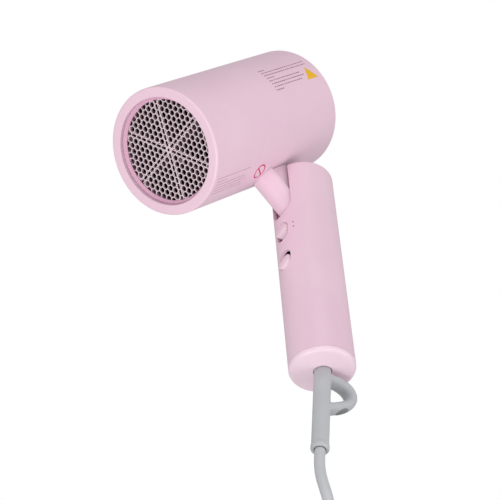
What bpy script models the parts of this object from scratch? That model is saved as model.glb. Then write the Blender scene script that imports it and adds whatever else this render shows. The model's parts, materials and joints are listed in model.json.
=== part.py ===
"""Folding hair dryer, half folded: barrel, hinge, handle, switches and mains cord.

Metres, +Z up along the handle, +X to the front, +Y to the left, origin in the middle of the grip.
Barrel pieces hang on the empty fold_pivot, whose X runs along the barrel to the outlet.
"""
import math

import bmesh
import bpy
from mathutils import Matrix, Vector
from mathutils.geometry import interpolate_bezier

# Driving dimensions
BARREL_RADIUS = 0.035
BARREL_LENGTH = 0.1183
BARREL_WALL = 0.002
OUTLET_REACH = 0.0612        # hinge axis to outlet face, along the barrel
LIP_RADIUS = 0.0294          # inner edge of the front lip
LIP_THICKNESS = 0.0022
BARREL_EDGE = 0.0012         # rounding of the barrel's two ends
RECESS_DEPTH = 0.0042        # outlet face to the collar's back edge
COLLAR_BEHIND = 0.0072       # collar's skirt behind the grille's face
GRILLE_SIGHT_RADIUS = 0.02765
GRILLE_THICKNESS = 0.0012
GRILLE_PITCH = 0.0088
GRILLE_WEB = 0.0014

HANDLE_RADIUS = 0.0175
HANDLE_WALL = 0.002
HANDLE_EDGE = 0.0018
PIVOT_TO_END = 0.1144        # hinge axis to the flat end of the handle
PIVOT_TO_TOP = 0.0247        # hinge axis to the handle's flat top
PIVOT_INSIDE = 0.0122        # hinge axis behind the handle's front
TOP_GAP = 0.0008             # handle's top to the barrel when unfolded
REST_FOLD = math.radians(43.6)
END_CAP_RIM = 0.0028
END_CAP_EDGE = 0.0024
END_CAP_SPIGOT = 0.0054

NECK_WIDTH = 0.016
NECK_NOSE = 0.0104           # neck's front, and knuckle's radius, ahead of the hinge axis
NECK_BACK = 0.0035           # neck's flat back, ahead of the hinge axis
NECK_CLEARANCE = 0.0004      # each side of the neck in the handle's slot
TONGUE_WIDTH = 0.0132        # narrower part of the neck behind its flat back
TONGUE_WALL = 0.002
SADDLE_LENGTH = 0.026
SADDLE_WIDTH = 0.028
SADDLE_THICKNESS = 0.002
PIN_RADIUS = 0.0025
PIN_SPAN = 0.0256
CABLE_SLOT = 0.008           # width of the cable's way through knuckle and neck

SWITCH_SLOT_LENGTH = 0.0124
SWITCH_SLOT_WIDTH = 0.010
SWITCH_TRAVEL = 0.003
SWITCH_GAP = 0.0002          # knob to slot, at its ends and sides
UPPER_SWITCH_DROP = 0.0228   # hinge axis to the middle of the upper slot
LOWER_SWITCH_DROP = 0.0433
KNOB_PROUD = 0.0017          # lower edge of a knob outside the handle
KNOB_SUNK = 0.0006           # upper edge of a knob inside it
FLANGE_HALF = 0.0062
FLANGE_THICKNESS = 0.0012

GUARD_RADIUS = 0.0045
GUARD_LENGTH = 0.0538
GUARD_LIP_RADIUS = 0.0048
GUARD_LEAN = math.radians(7.8)
LOOP_THICKNESS = 0.0058
LOOP_WIDTH = 0.0088
CORD_RADIUS = 0.0028

FAN_RADIUS = BARREL_RADIUS - 0.0068
DUCT_RADIUS = FAN_RADIUS + 0.002
DUCT_WALL = 0.0012
MOTOR_REAR = -0.026          # along the barrel, from the hinge axis
DUCT_FRONT = -0.0115
DUCT_SEAT = 0.0105           # rear end of the barrel to the duct's flange
MOTOR_RADIUS = 0.0136
MOTOR_LENGTH = 0.024
SHAFT_RADIUS = 0.001
FAN_BLADES = 7
STATOR_VANES = 7
SLEEVE_RADIUS = BARREL_RADIUS - 0.005
SLEEVE_WALL = 0.0006
HEATER_RADIUS = SLEEVE_RADIUS - 0.006
HEATER_TURNS = 6

FLOOR_DROP = 0.1328          # handle's end to the surface that the stored cord lies on
COIL_MEAN_RADIUS = 0.0336
COIL_COLUMNS = 4.75          # cord diameters across the winding
COIL_LAYERS = 2
COIL_CENTRE = (0.055, -0.052)
TIE_ANGLE = 0.0
TIE_WIDTH = 0.008
TIE_THICKNESS = 0.0006
TIE_ROOM = 0.0007

GAP = 0.0003                 # between pieces that touch
SEAM = 0.00015               # between flush mouldings
WELD = 0.000002
SCREW_RADIUS = 0.0008
CHASSIS_SCREW = (-0.0085, 0.0072)
CLAMP_SPREAD = 0.0068        # each clamp screw from the middle
CLAMP_RISE = 0.0272          # handle's end to the cord clamp
LEAD_RISE = 0.0372           # handle's end to the upper end of the cord inside it

# Places worked out from them
BARREL_INNER = BARREL_RADIUS - BARREL_WALL
HANDLE_INNER = HANDLE_RADIUS - HANDLE_WALL
PIVOT_TO_AXIS = BARREL_RADIUS + PIVOT_TO_TOP + TOP_GAP
PIVOT_FORWARD = HANDLE_RADIUS - PIVOT_INSIDE
FRONT = OUTLET_REACH
REAR = FRONT - BARREL_LENGTH
PIVOT_HEIGHT = PIVOT_TO_END / 2
HANDLE_END = -PIVOT_TO_END / 2
HANDLE_TOP = PIVOT_HEIGHT + PIVOT_TO_TOP
SLEEVE_END = HANDLE_END + END_CAP_RIM
CLAMP_HEIGHT = HANDLE_END + CLAMP_RISE
LEAD_TOP = HANDLE_END + LEAD_RISE
FLOOR = HANDLE_END - FLOOR_DROP
SADDLE_CENTRE = (NECK_NOSE + NECK_BACK) / 2
SADDLE_OUTER = BARREL_INNER - GAP
DUCT_REAR = REAR + DUCT_SEAT
HEATER_REAR = SADDLE_CENTRE + SADDLE_LENGTH / 2 + 0.003
HEATER_FRONT = FRONT - RECESS_DEPTH - COLLAR_BEHIND - 0.0012
FLANGE_BACK = HANDLE_INNER - 0.0033
FLANGE_FRONT = FLANGE_BACK + FLANGE_THICKNESS
SWITCH_FRONT = HANDLE_INNER - 0.005
SLOT_HALF = NECK_WIDTH / 2 + NECK_CLEARANCE
SLOT_DEPTH = NECK_NOSE + NECK_CLEARANCE + 0.0001
FORK_BOTTOM = PIVOT_HEIGHT - 0.015
FORK_ROOM = NECK_NOSE + 0.0007
KNOB_LENGTH = SWITCH_SLOT_LENGTH - SWITCH_TRAVEL - 2 * SWITCH_GAP
UPPER_SWITCH = PIVOT_HEIGHT - UPPER_SWITCH_DROP
LOWER_SWITCH = PIVOT_HEIGHT - LOWER_SWITCH_DROP
CORD_WIDTH = 2 * CORD_RADIUS
COIL_HALF_WIDTH = COIL_COLUMNS * CORD_RADIUS
COIL_HEIGHT = COIL_LAYERS * CORD_WIDTH
COIL_BOTTOM = FLOOR + TIE_THICKNESS + GAP
PLUG_SIZE = (0.022, 0.028, 0.015)
PLUG_NECK = 0.014
PLUG_EDGE = 0.003
PIN_SECTION = (0.0015, 0.0064)
PIN_SPREAD = 0.00635         # each pin's middle from the plug's middle
PIN_ROOT = 0.006
PIN_LENGTH = 0.016

# Routes are (x, y, drop below the handle's end)
# Middle of the hanging loop: out of the guard under the cap, back, down and in again
LOOP_ROUTE = [(-0.0005, 0, 0.0046), (-0.0085, 0, 0.0048), (-0.0142, 0, 0.0074), (-0.0162, 0, 0.0120),
              (-0.0138, 0, 0.0167), (-0.0080, 0, 0.0208), (0.0010, 0, 0.0253)]

# The free cord's own route: out of the guard, down, and round to the coil
CORD_ROUTE = [(0.0073, 0, 0.0536), (0.0084, 0, 0.0616), (0.0086, 0.0003, 0.0693), (0.0076, 0.0008, 0.0768),
              (0.0058, 0.0004, 0.0843), (0.0040, -0.0024, 0.0928), (0.0030, -0.0080, 0.1018),
              (0.0030, -0.0165, 0.1098), (0.0038, -0.0275, 0.1163), (0.0045, -0.0390, 0.1206),
              (0.0049, -0.0500, 0.1225), (0.0049, -0.0560, 0.1230)]

# The end of the cord, from the coil to the plug
TAIL_ROUTE = [(0.0550, -0.1025, 0.1288), (0.0590, -0.1025, 0.1285), (0.0630, -0.1025, 0.1275),
              (0.0668, -0.1025, 0.1262), (0.0705, -0.1025, 0.1259)]

ALONG_X = (0, math.pi / 2, 0)
ALONG_Y = (-math.pi / 2, 0, 0)
FACING_X = (math.pi / 2, 0, math.pi / 2)
FACING_Y = (math.pi / 2, 0, 0)


# Scene, collections and materials

def clear_scene():
    for item in list(bpy.data.objects):
        bpy.data.objects.remove(item, do_unlink=True)


def new_collection(name):
    collection = bpy.data.collections.new(name)
    bpy.context.scene.collection.children.link(collection)
    return collection


def new_material(name, colour, roughness, metallic=0.0):
    finish = bpy.data.materials.new(name)
    finish.use_nodes = True
    shader = finish.node_tree.nodes["Principled BSDF"]
    shader.inputs["Base Color"].default_value = (*colour, 1)
    shader.inputs["Roughness"].default_value = roughness
    shader.inputs["Metallic"].default_value = metallic
    return finish


clear_scene()
PARTS = new_collection("folding_hair_dryer")
CUTTERS = new_collection("cutters")

PINK = new_material("pink_plastic", (0.76, 0.53, 0.65), 0.42)
PALE_PINK = new_material("pale_pink_plastic", (0.83, 0.62, 0.72), 0.45)
SILVER = new_material("silver_grille", (0.66, 0.58, 0.62), 0.35, 0.6)
GREY_RUBBER = new_material("grey_rubber", (0.52, 0.53, 0.55), 0.6)
BLACK = new_material("black_plastic", (0.02, 0.02, 0.02), 0.5)
STEEL = new_material("steel", (0.6, 0.6, 0.6), 0.3, 1.0)
BRASS = new_material("brass", (0.75, 0.55, 0.25), 0.3, 1.0)
MICA = new_material("mica", (0.55, 0.47, 0.33), 0.45)
HEATER_WIRE = new_material("heater_wire", (0.35, 0.32, 0.30), 0.4, 0.9)
BOARD = new_material("circuit_board", (0.03, 0.19, 0.08), 0.5)
WIRE_SLEEVE = new_material("wire_sleeve", (0.7, 0.68, 0.62), 0.6)


# Shapes

def add_object(name, data):
    shape = bpy.data.objects.new(name, data)
    PARTS.objects.link(shape)
    return shape


def place(shape, location=(0, 0, 0), rotation=(0, 0, 0), parent=None):
    shape.location = location
    shape.rotation_euler = rotation
    shape.parent = parent
    return shape


def finish(shape, material):
    """Give the piece its material and smooth shading with sharp edges."""
    shape.data.materials.clear()
    shape.data.materials.append(material)
    shape.data.shade_smooth()
    shape.data.set_sharp_from_angle(angle=math.radians(30))
    return shape


def baked(shape):
    """Replace the evaluated shape by a plain welded mesh with its faces pointing out."""
    graph = bpy.context.evaluated_depsgraph_get()
    mesh = bpy.data.meshes.new_from_object(shape.evaluated_get(graph))
    work = bmesh.new()
    work.from_mesh(mesh)
    bmesh.ops.remove_doubles(work, verts=work.verts, dist=WELD)
    bmesh.ops.dissolve_degenerate(work, edges=work.edges, dist=WELD)
    bmesh.ops.recalc_face_normals(work, faces=work.faces)
    work.to_mesh(mesh)
    work.free()
    name = shape.name
    matrix = shape.matrix_basis.copy()
    parent = shape.parent
    bpy.data.objects.remove(shape, do_unlink=True)
    plain = add_object(name, mesh)
    plain.parent = parent
    plain.matrix_basis = matrix
    return plain


def arc(centre, radius, start, end, steps):
    """Points of an arc in a plane, angles in degrees."""
    angles = [math.radians(start + (end - start) * i / steps) for i in range(steps + 1)]
    return [(centre[0] + radius * math.cos(a), centre[1] + radius * math.sin(a)) for a in angles]


def turned(name, profile, segments=48, **where):
    """Turn a (radius, height) profile about local Z; it runs down its outer side.

    A profile that starts on the axis is a solid, any other is closed into a ring.
    """
    count = len(profile)
    edges = [(i, i + 1) for i in range(count - 1)]
    if profile[0][0] > 0:
        edges.append((count - 1, 0))
    mesh = bpy.data.meshes.new(name)
    mesh.from_pydata([(radius, 0, height) for radius, height in profile], edges, [])
    shape = add_object(name, mesh)
    screw = shape.modifiers.new("turn", "SCREW")
    screw.angle = 2 * math.pi
    screw.steps = segments
    screw.render_steps = segments
    screw.use_merge_vertices = True
    screw.merge_threshold = WELD
    return place(baked(shape), **where)


def box(name, low, high, **where):
    """A box between two corners in its local frame."""
    mesh = bpy.data.meshes.new(name)
    work = bmesh.new()
    bmesh.ops.create_cube(work, size=1)
    low, high = Vector(low), Vector(high)
    bmesh.ops.scale(work, verts=work.verts, vec=high - low)
    bmesh.ops.translate(work, verts=work.verts, vec=(low + high) / 2)
    work.to_mesh(mesh)
    work.free()
    return place(add_object(name, mesh), **where)


def rod(name, radius, low, high, segments=24, **where):
    """A cylinder along local Z from height low to height high."""
    return place(hole_pattern(name, [(0, 0)], radius, segments, low, high), **where)


def plate(name, outline, thickness, **where):
    """A flat outline in local XY, filled and given its thickness along local Z."""
    curve = bpy.data.curves.new(name, "CURVE")
    curve.dimensions = "2D"
    curve.fill_mode = "BOTH"
    curve.extrude = thickness / 2
    spline = curve.splines.new("POLY")
    spline.points.add(len(outline) - 1)
    for point, (x, y) in zip(spline.points, outline):
        point.co = (x, y, 0, 1)
    spline.use_cyclic_u = True
    return place(baked(add_object(name, curve)), **where)


def tube(name, points, radius, resolution=2, **where):
    """A round tube with filled ends along a list of points."""
    curve = bpy.data.curves.new(name, "CURVE")
    curve.dimensions = "3D"
    curve.bevel_depth = radius
    curve.bevel_resolution = resolution
    curve.use_fill_caps = True
    spline = curve.splines.new("POLY")
    spline.points.add(len(points) - 1)
    for point, place_of in zip(spline.points, points):
        point.co = (*place_of, 1)
    return place(baked(add_object(name, curve)), **where)


def hanging(route):
    """Points of a route that is given by drops below the handle's end."""
    return [(x, y, HANDLE_END - drop) for x, y, drop in route]


def smooth_route(route, spacing):
    """Points about one spacing apart on a smooth curve through the route's points."""
    route = [Vector(point) for point in route]
    ends = [route[0] * 2 - route[1]] + route + [route[-1] * 2 - route[-2]]
    points = [route[0]]
    for i in range(1, len(route)):
        before, start, end, after = ends[i - 1:i + 3]
        steps = max(2, round((end - start).length / spacing) + 1)
        handle_a = start + (end - before) / 6
        handle_b = end - (after - start) / 6
        points += interpolate_bezier(start, handle_a, handle_b, end, steps)[1:]
    return points


def joined(name, shapes):
    """Several shapes, placed alike, as one mesh object, for use as a cutter."""
    work = bmesh.new()
    for shape in shapes:
        part = shape.data.copy()
        part.transform(shape.matrix_basis)
        work.from_mesh(part)
        bpy.data.meshes.remove(part)
    parent = shapes[0].parent
    for shape in shapes:
        bpy.data.objects.remove(shape, do_unlink=True)
    mesh = bpy.data.meshes.new(name)
    work.to_mesh(mesh)
    work.free()
    return place(add_object(name, mesh), parent=parent)


def combine(shape, other, operation="DIFFERENCE"):
    """Cut, join or intersect a piece with another shape, which becomes its cutter."""
    if other.name not in CUTTERS.objects:
        PARTS.objects.unlink(other)
        CUTTERS.objects.link(other)
        other.name = "cutter_" + other.name
        other.hide_render = True
        other.display_type = "WIRE"
    modifier = shape.modifiers.new(other.name, "BOOLEAN")
    modifier.operation = operation
    modifier.object = other
    return shape


def hex_places(pitch, reach):
    """Centres of a hexagonal pattern inside a circle."""
    places = []
    rows = int(reach / pitch) + 2
    for row in range(-rows, rows + 1):
        for column in range(-rows, rows + 1):
            x = pitch * (column + row / 2)
            y = pitch * row * math.sin(math.radians(60))
            if math.hypot(x, y) < reach:
                places.append((x, y))
    return places


def hole_pattern(name, places, radius, sides, low, high):
    """Prisms along Z, one at each place, as one cutter mesh."""
    mesh = bpy.data.meshes.new(name)
    work = bmesh.new()
    for x, y in places:
        prism = bmesh.ops.create_cone(work, cap_ends=True, segments=sides, radius1=radius,
                                      radius2=radius, depth=high - low)
        bmesh.ops.translate(work, verts=prism["verts"], vec=(x, y, (low + high) / 2))
    work.to_mesh(mesh)
    work.free()
    return add_object(name, mesh)


def screw(name, length, material, **where):
    """A small pan head screw: its head's underside at 0, its shank along -Z."""
    head = 0.0018
    profile = [(0, 0.0011), (head * 0.7, 0.0011), (head, 0.0006), (head, 0)]
    profile += [(SCREW_RADIUS, 0), (SCREW_RADIUS, -length), (0, -length)]
    return finish(turned(name, profile, 8, **where), material)


def empty(name, location, rotation=(0, 0, 0), parent=None):
    return place(add_object(name, None), location, rotation, parent)


# Joint axes

fold_pivot = empty("fold_pivot", (PIVOT_FORWARD, 0, PIVOT_HEIGHT), (0, REST_FOLD, 0))
barrel_axis = empty("barrel_axis", (0, 0, PIVOT_TO_AXIS), ALONG_X, fold_pivot)


# Barrel: turned about barrel_axis, heights are places along the barrel

def neck_outline(clearance=0.0):
    """D-shaped section of the neck: round nose to the front, flat back."""
    radius = NECK_WIDTH / 2
    centre = NECK_NOSE - radius
    half_angle = math.degrees(math.acos((NECK_BACK - centre) / radius))
    nose = arc((centre, 0), radius + clearance, -half_angle, half_angle, 18)
    return [(x - clearance if x < NECK_BACK + clearance else x, y) for x, y in nose]


def barrel_shell():
    edge = BARREL_EDGE
    profile = [(LIP_RADIUS, FRONT)]
    profile += arc((BARREL_RADIUS - edge, FRONT - edge), edge, 90, 0, 3)
    profile += arc((BARREL_RADIUS - edge, REAR + edge), edge, 0, -90, 3)
    profile += [(BARREL_INNER, REAR), (BARREL_INNER, FRONT - LIP_THICKNESS)]
    profile += [(LIP_RADIUS, FRONT - LIP_THICKNESS)]
    shell = turned("barrel_shell", profile, 64, parent=barrel_axis)
    combine(shell, plate("neck_hole", neck_outline(NECK_CLEARANCE), BARREL_RADIUS,
                         location=(0, 0, PIVOT_TO_AXIS - BARREL_RADIUS), parent=fold_pivot))
    for i, where in enumerate(neck_screw_places()):
        combine(shell, rod(f"screw_pocket_{i}", SCREW_RADIUS + GAP, BARREL_INNER - 0.001,
                           BARREL_INNER + 0.0014, 12, **where))
    finish(shell, PINK)


def outlet_collar():
    outer = BARREL_INNER - GAP
    top = FRONT - LIP_THICKNESS - GAP
    seat = FRONT - RECESS_DEPTH
    back = seat - COLLAR_BEHIND
    profile = [(LIP_RADIUS - GAP, top), (outer, top), (outer, back)]
    profile += [(grille_radius() + GAP, back), (grille_radius() + GAP, seat)]
    profile += [(GRILLE_SIGHT_RADIUS, seat)]
    finish(turned("outlet_ring", profile, 64, parent=barrel_axis), PALE_PINK)


def grille_radius():
    return GRILLE_SIGHT_RADIUS + 0.0022


def outlet_grille():
    top = FRONT - RECESS_DEPTH - GAP
    disc = rod("outlet_grille", grille_radius(), top - GRILLE_THICKNESS, top, 64, parent=barrel_axis)
    flats = GRILLE_PITCH - GRILLE_WEB
    corner = flats / 2 / math.cos(math.radians(30))
    holes = hole_pattern("grille_cells", hex_places(GRILLE_PITCH, GRILLE_SIGHT_RADIUS - corner),
                         corner, 6, top - 2 * GRILLE_THICKNESS, top + GRILLE_THICKNESS)
    place(holes, parent=barrel_axis)
    combine(disc, holes)
    finish(disc, SILVER)


def rear_cover():
    outer = BARREL_INNER - GAP
    face = REAR + 0.0008
    wall = 0.0018
    depth = 0.009
    cover = rod("rear_cover", outer, face, face + depth, 64, parent=barrel_axis)
    combine(cover, rod("cover_room", outer - wall, face + wall, face + 2 * depth, 64, parent=barrel_axis))
    hole = 0.0042
    holes = hole_pattern("inlet_holes", hex_places(0.0098, outer - wall - hole), hole, 6,
                         face - wall, face + 2 * wall)
    place(holes, parent=barrel_axis)
    combine(cover, holes)
    finish(cover, PINK)


def inlet_filter():
    radius = BARREL_INNER - 0.0018 - 3 * GAP
    low = REAR + 0.0030
    disc = rod("inlet_filter", radius, low, low + 0.0006, 48, parent=barrel_axis)
    holes = hole_pattern("filter_holes", hex_places(0.0150, radius - 0.008), 0.0074, 6,
                         low - 0.001, low + 0.002)
    place(holes, parent=barrel_axis)
    combine(disc, holes)
    finish(disc, BLACK)


# Neck: a column with a saddle inside the barrel and a knuckle round the hinge axis

def neck_screw_places():
    """Four screws through the saddle, square to the barrel's wall."""
    places = []
    spread = math.asin((SADDLE_WIDTH / 2 - 0.0028) / SADDLE_OUTER)
    for x in (-1, 1):
        for side in (-1, 1):
            places.append({
                "location": (SADDLE_CENTRE + x * (SADDLE_LENGTH / 2 - 0.003), 0, PIVOT_TO_AXIS),
                "rotation": (math.pi + side * spread, 0, 0),
                "parent": fold_pivot,
            })
    return places


def tongue(height):
    """Rear part of the neck: from the knuckle up to the barrel, with a pocket open to the barrel."""
    radius = NECK_NOSE - 0.0001
    outline = arc((0, 0), radius, 180, 260, 10)
    outline += [(NECK_BACK + 0.0005, outline[-1][1]), (NECK_BACK + 0.0005, height), (-radius, height)]
    block = plate("neck_tongue", outline, TONGUE_WIDTH, rotation=FACING_Y, parent=fold_pivot)
    reach = NECK_BACK + 0.03
    return combine(block, rod("barrel_room", BARREL_RADIUS + GAP, -reach, reach, 64, parent=barrel_axis))


def hinge_neck():
    height = PIVOT_TO_AXIS - SADDLE_OUTER + 0.8 * SADDLE_THICKNESS + 0.0003
    start = -0.0006
    neck = plate("hinge_neck", neck_outline(), height - start, location=(0, 0, (height + start) / 2),
                 parent=fold_pivot)
    inner = SADDLE_OUTER - SADDLE_THICKNESS
    start = SADDLE_CENTRE - SADDLE_LENGTH / 2
    end = SADDLE_CENTRE + SADDLE_LENGTH / 2
    saddle = turned("saddle", [(inner, end), (SADDLE_OUTER, end), (SADDLE_OUTER, start), (inner, start)],
                    64, parent=barrel_axis)
    combine(saddle, box("saddle_trim", (start - 0.01, -SADDLE_WIDTH / 2, 0),
                        (end + 0.01, SADDLE_WIDTH / 2, PIVOT_TO_AXIS - 0.02), parent=fold_pivot),
            "INTERSECT")
    combine(neck, saddle, "UNION")
    combine(neck, tongue(height), "UNION")
    half = NECK_WIDTH / 2
    swept = arc((NECK_NOSE - half - 0.00005, 0), half, 80, -80, 10)
    swept = [(0, swept[0][1])] + swept + [(0, swept[-1][1])]
    combine(neck, turned("knuckle", swept, 32, rotation=ALONG_Y, parent=fold_pivot), "UNION")
    back, front = NECK_BACK + 0.0013, NECK_NOSE - 0.002
    reach = NECK_NOSE + 0.001
    window = [(-reach, -reach), (0.002, -reach), (0.002, -0.0012), (front, -0.0012), (front, height + 0.004)]
    window += [(back, height + 0.004), (back, 0.0025), (-reach, 0.0025)]
    combine(neck, plate("cable_way", window, CABLE_SLOT, rotation=FACING_Y, parent=fold_pivot))
    wall = TONGUE_WALL
    pocket = [(wall - NECK_NOSE, 0.0025 + wall), (back - wall, 0.0025 + wall), (back - wall, height + 0.004)]
    pocket += [(wall - NECK_NOSE, height + 0.004)]
    combine(neck, plate("tongue_pocket", pocket, TONGUE_WIDTH - 2 * wall, rotation=FACING_Y,
                        parent=fold_pivot))
    bore, seat = PIN_RADIUS + GAP, 0.0055
    wide, floor = NECK_WIDTH, NECK_WIDTH / 2 - 0.0009
    stepped = [(0, wide), (seat, wide), (seat, floor), (bore, floor), (bore, -floor), (seat, -floor)]
    stepped += [(seat, -wide), (0, -wide)]
    combine(neck, turned("pin_bore", stepped, 26, rotation=ALONG_Y, parent=fold_pivot))
    for i, where in enumerate(neck_screw_places()):
        combine(neck, rod(f"screw_hole_{i}", SCREW_RADIUS + GAP, inner - 0.002, SADDLE_OUTER + 0.002,
                          12, **where))
        drive = screw(f"neck_screw_{i + 1}", 0.0032, STEEL, **where)
        drive.data.transform(turned_over(inner - 0.0002))
    finish(neck, PINK)


def turned_over(distance):
    """Matrix that turns a screw to point along +Z with its head at a distance."""
    return Matrix.Translation((0, 0, distance)) @ Matrix.Rotation(math.pi, 4, "X")


# Air mover

def motor_mount():
    outer = DUCT_RADIUS
    inner = DUCT_RADIUS - DUCT_WALL
    rear_flange = BARREL_INNER - GAP
    profile = [(inner, DUCT_FRONT), (outer, DUCT_FRONT), (outer, DUCT_REAR + 0.002)]
    profile += [(rear_flange, DUCT_REAR + 0.002), (rear_flange, DUCT_REAR), (inner, DUCT_REAR)]
    mount = turned("motor_mount", profile, 48, parent=barrel_axis)
    cup_inner = MOTOR_RADIUS + GAP
    cup_outer = cup_inner + 0.0015
    cup_rear = MOTOR_REAR - GAP
    boss = 0.004
    cup_profile = [(cup_inner, DUCT_FRONT), (cup_outer, DUCT_FRONT), (cup_outer, cup_rear - 0.0015)]
    cup_profile += [(boss, cup_rear - 0.0015), (boss, cup_rear), (cup_inner, cup_rear)]
    vanes = []
    for i in range(STATOR_VANES):
        vane = box(f"vane_{i}", (cup_outer - 0.0006, -0.0005, -0.005), (inner + 0.0006, 0.0005, 0.005),
                   parent=barrel_axis)
        vane.data.transform(vane_turn(0.35, i / STATOR_VANES, -0.0185))
        vanes.append(vane)
    combine(mount, joined("stator_vanes", vanes), "UNION")
    combine(mount, turned("motor_cup", cup_profile, 32, parent=barrel_axis), "UNION")
    finish(mount, BLACK)


def vane_turn(pitch, share, height):
    """Matrix that pitches a blade about its radius, then turns and lifts it."""
    around = Matrix.Rotation(2 * math.pi * share, 4, "Z")
    return Matrix.Translation((0, 0, height)) @ around @ Matrix.Rotation(pitch, 4, "X")


def motor():
    high = MOTOR_REAR + MOTOR_LENGTH
    bore = SHAFT_RADIUS + GAP
    profile = [(0, high + 0.002), (0.003, high + 0.002), (0.003, high), (MOTOR_RADIUS, high)]
    profile += [(MOTOR_RADIUS, MOTOR_REAR), (0.0035, MOTOR_REAR), (0.0035, MOTOR_REAR - 0.0014)]
    profile += [(bore, MOTOR_REAR - 0.0014), (bore, MOTOR_REAR + 0.006), (0, MOTOR_REAR + 0.006)]
    finish(turned("motor", profile, 32, parent=barrel_axis), STEEL)


def fan():
    hub_radius = 0.0075
    low = DUCT_REAR + 0.0025
    high = low + 0.0095
    bore = SHAFT_RADIUS + GAP
    hub = turned("fan_impeller", [(bore, high), (hub_radius, high), (hub_radius, low + 0.002),
                                  (hub_radius - 0.002, low), (bore, low)], 28, parent=barrel_axis)
    blades = []
    for i in range(FAN_BLADES):
        blade = box(f"blade_{i}", (hub_radius - 0.0008, -0.0005, -0.0038), (FAN_RADIUS, 0.0005, 0.0038),
                    parent=barrel_axis)
        blade.data.transform(vane_turn(-0.75, i / FAN_BLADES, (low + high) / 2))
        blades.append(blade)
    combine(hub, joined("fan_blades", blades), "UNION")
    finish(hub, BLACK)
    finish(rod("motor_shaft", SHAFT_RADIUS, low - 0.001, MOTOR_REAR + 0.005, 12, parent=barrel_axis), STEEL)


# Heater

def heater():
    outer = SLEEVE_RADIUS
    inner = SLEEVE_RADIUS - SLEEVE_WALL
    rear = HEATER_REAR - 0.003
    profile = [(inner, HEATER_FRONT), (outer, HEATER_FRONT), (outer, rear), (inner, rear)]
    finish(turned("mica_sleeve", profile, 48, parent=barrel_axis), MICA)
    half = HEATER_RADIUS - 0.0015
    thin = 0.0005
    low, high = HEATER_REAR - 0.002, HEATER_FRONT - 0.001
    middle = (low + high) / 2
    room = thin + GAP
    upright = box("mica_board_upright", (-half, -thin, low), (half, thin, high), parent=barrel_axis)
    combine(upright, box("front_notch", (-room, -0.01, middle), (room, 0.01, high + 0.01),
                         parent=barrel_axis))
    level = box("mica_board_level", (-thin, -half, low), (thin, half, high), parent=barrel_axis)
    combine(level, box("rear_notch", (-0.01, -room, low - 0.01), (0.01, room, middle + GAP),
                       parent=barrel_axis))
    finish(upright, MICA)
    finish(level, MICA)
    pitch = (HEATER_FRONT - HEATER_REAR - 0.006) / HEATER_TURNS
    for name, shift in (("heater_coil_high", 0.0), ("heater_coil_low", 0.5)):
        steps = 12
        points = []
        for i in range(steps * HEATER_TURNS + 1):
            turn = i / steps
            angle = 2 * math.pi * turn
            height = HEATER_REAR + 0.001 + pitch * (turn + shift)
            points.append((HEATER_RADIUS * math.cos(angle), HEATER_RADIUS * math.sin(angle), height))
        finish(tube(name, points, 0.00045, 0, parent=barrel_axis), HEATER_WIRE)
    cutout = box("thermal_cutout", (0.001, 0.006, 0.028), (0.0045, 0.014, 0.038), parent=barrel_axis)
    finish(cutout, BLACK)
    fuse = rod("thermal_fuse", 0.0014, -0.005, 0.005, 12, location=(0.0028, -0.011, 0.034),
               parent=barrel_axis)
    finish(fuse, STEEL)


def barrel_wires():
    x = (NECK_BACK + NECK_NOSE - 0.0007) / 2
    up = PIVOT_TO_AXIS
    route = [(x, 0, 0.0006), (x, 0, 0.010), (x, 0, 0.020), (x, 0, up - 0.027), (x - 0.0005, 0, up - 0.020),
             (x - 0.002, 0, up - 0.013)]
    finish(tube("barrel_wires", smooth_route(route, 0.004), 0.0013, 2, parent=fold_pivot), WIRE_SLEEVE)


# Handle

def slot_outline():
    """The neck's slot seen from the front, relative to the hinge axis."""
    centre = -(SLOT_DEPTH - SLOT_HALF)
    high = PIVOT_TO_TOP + 0.01
    return arc((0, centre), SLOT_HALF, 180, 360, 20) + [(SLOT_HALF, high), (-SLOT_HALF, high)]


def stadium(width, length, steps=10):
    """An upright slot outline with round ends."""
    radius = width / 2
    rise = length / 2 - radius
    return arc((0, rise), radius, 0, 180, steps) + arc((0, -rise), radius, 180, 360, steps)


def handle_shell():
    edge = HANDLE_EDGE
    low = SLEEVE_END + SEAM
    ceiling = HANDLE_TOP - HANDLE_WALL
    profile = [(0, HANDLE_TOP)]
    profile += arc((HANDLE_RADIUS - edge, HANDLE_TOP - edge), edge, 90, 0, 4)
    profile += [(HANDLE_RADIUS, low), (HANDLE_INNER, low), (HANDLE_INNER, ceiling), (0, ceiling)]
    shell = turned("handle_shell", profile, 56)
    start = PIVOT_FORWARD - FORK_ROOM
    end = HANDLE_RADIUS + 0.005
    combine(shell, plate("neck_slot", slot_outline(), end - start,
                         location=((start + end) / 2, 0, PIVOT_HEIGHT), rotation=FACING_X))
    for name, height in (("upper_switch_slot", UPPER_SWITCH), ("lower_switch_slot", LOWER_SWITCH)):
        outline = stadium(SWITCH_SLOT_WIDTH, SWITCH_SLOT_LENGTH)
        combine(shell, plate(name, outline, HANDLE_RADIUS, location=(HANDLE_RADIUS, 0, height),
                             rotation=FACING_X))
    finish(shell, PINK)


def end_cap():
    spigot = HANDLE_INNER - GAP
    wall = 0.0020
    floor = HANDLE_END + 0.0022
    top = SLEEVE_END + END_CAP_SPIGOT
    profile = [(0, floor), (spigot - wall, floor), (spigot - wall, top), (spigot, top)]
    profile += [(spigot, SLEEVE_END), (HANDLE_RADIUS, SLEEVE_END)]
    profile += arc((HANDLE_RADIUS - END_CAP_EDGE, HANDLE_END + END_CAP_EDGE), END_CAP_EDGE, 0, -90, 4)
    profile += [(0, HANDLE_END)]
    cap = turned("handle_end_cap", profile, 48)
    combine(cap, rod("guard_hole", GUARD_RADIUS + 0.0004, HANDLE_END - 0.002, floor + 0.002, 32))
    finish(cap, PALE_PINK)


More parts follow.
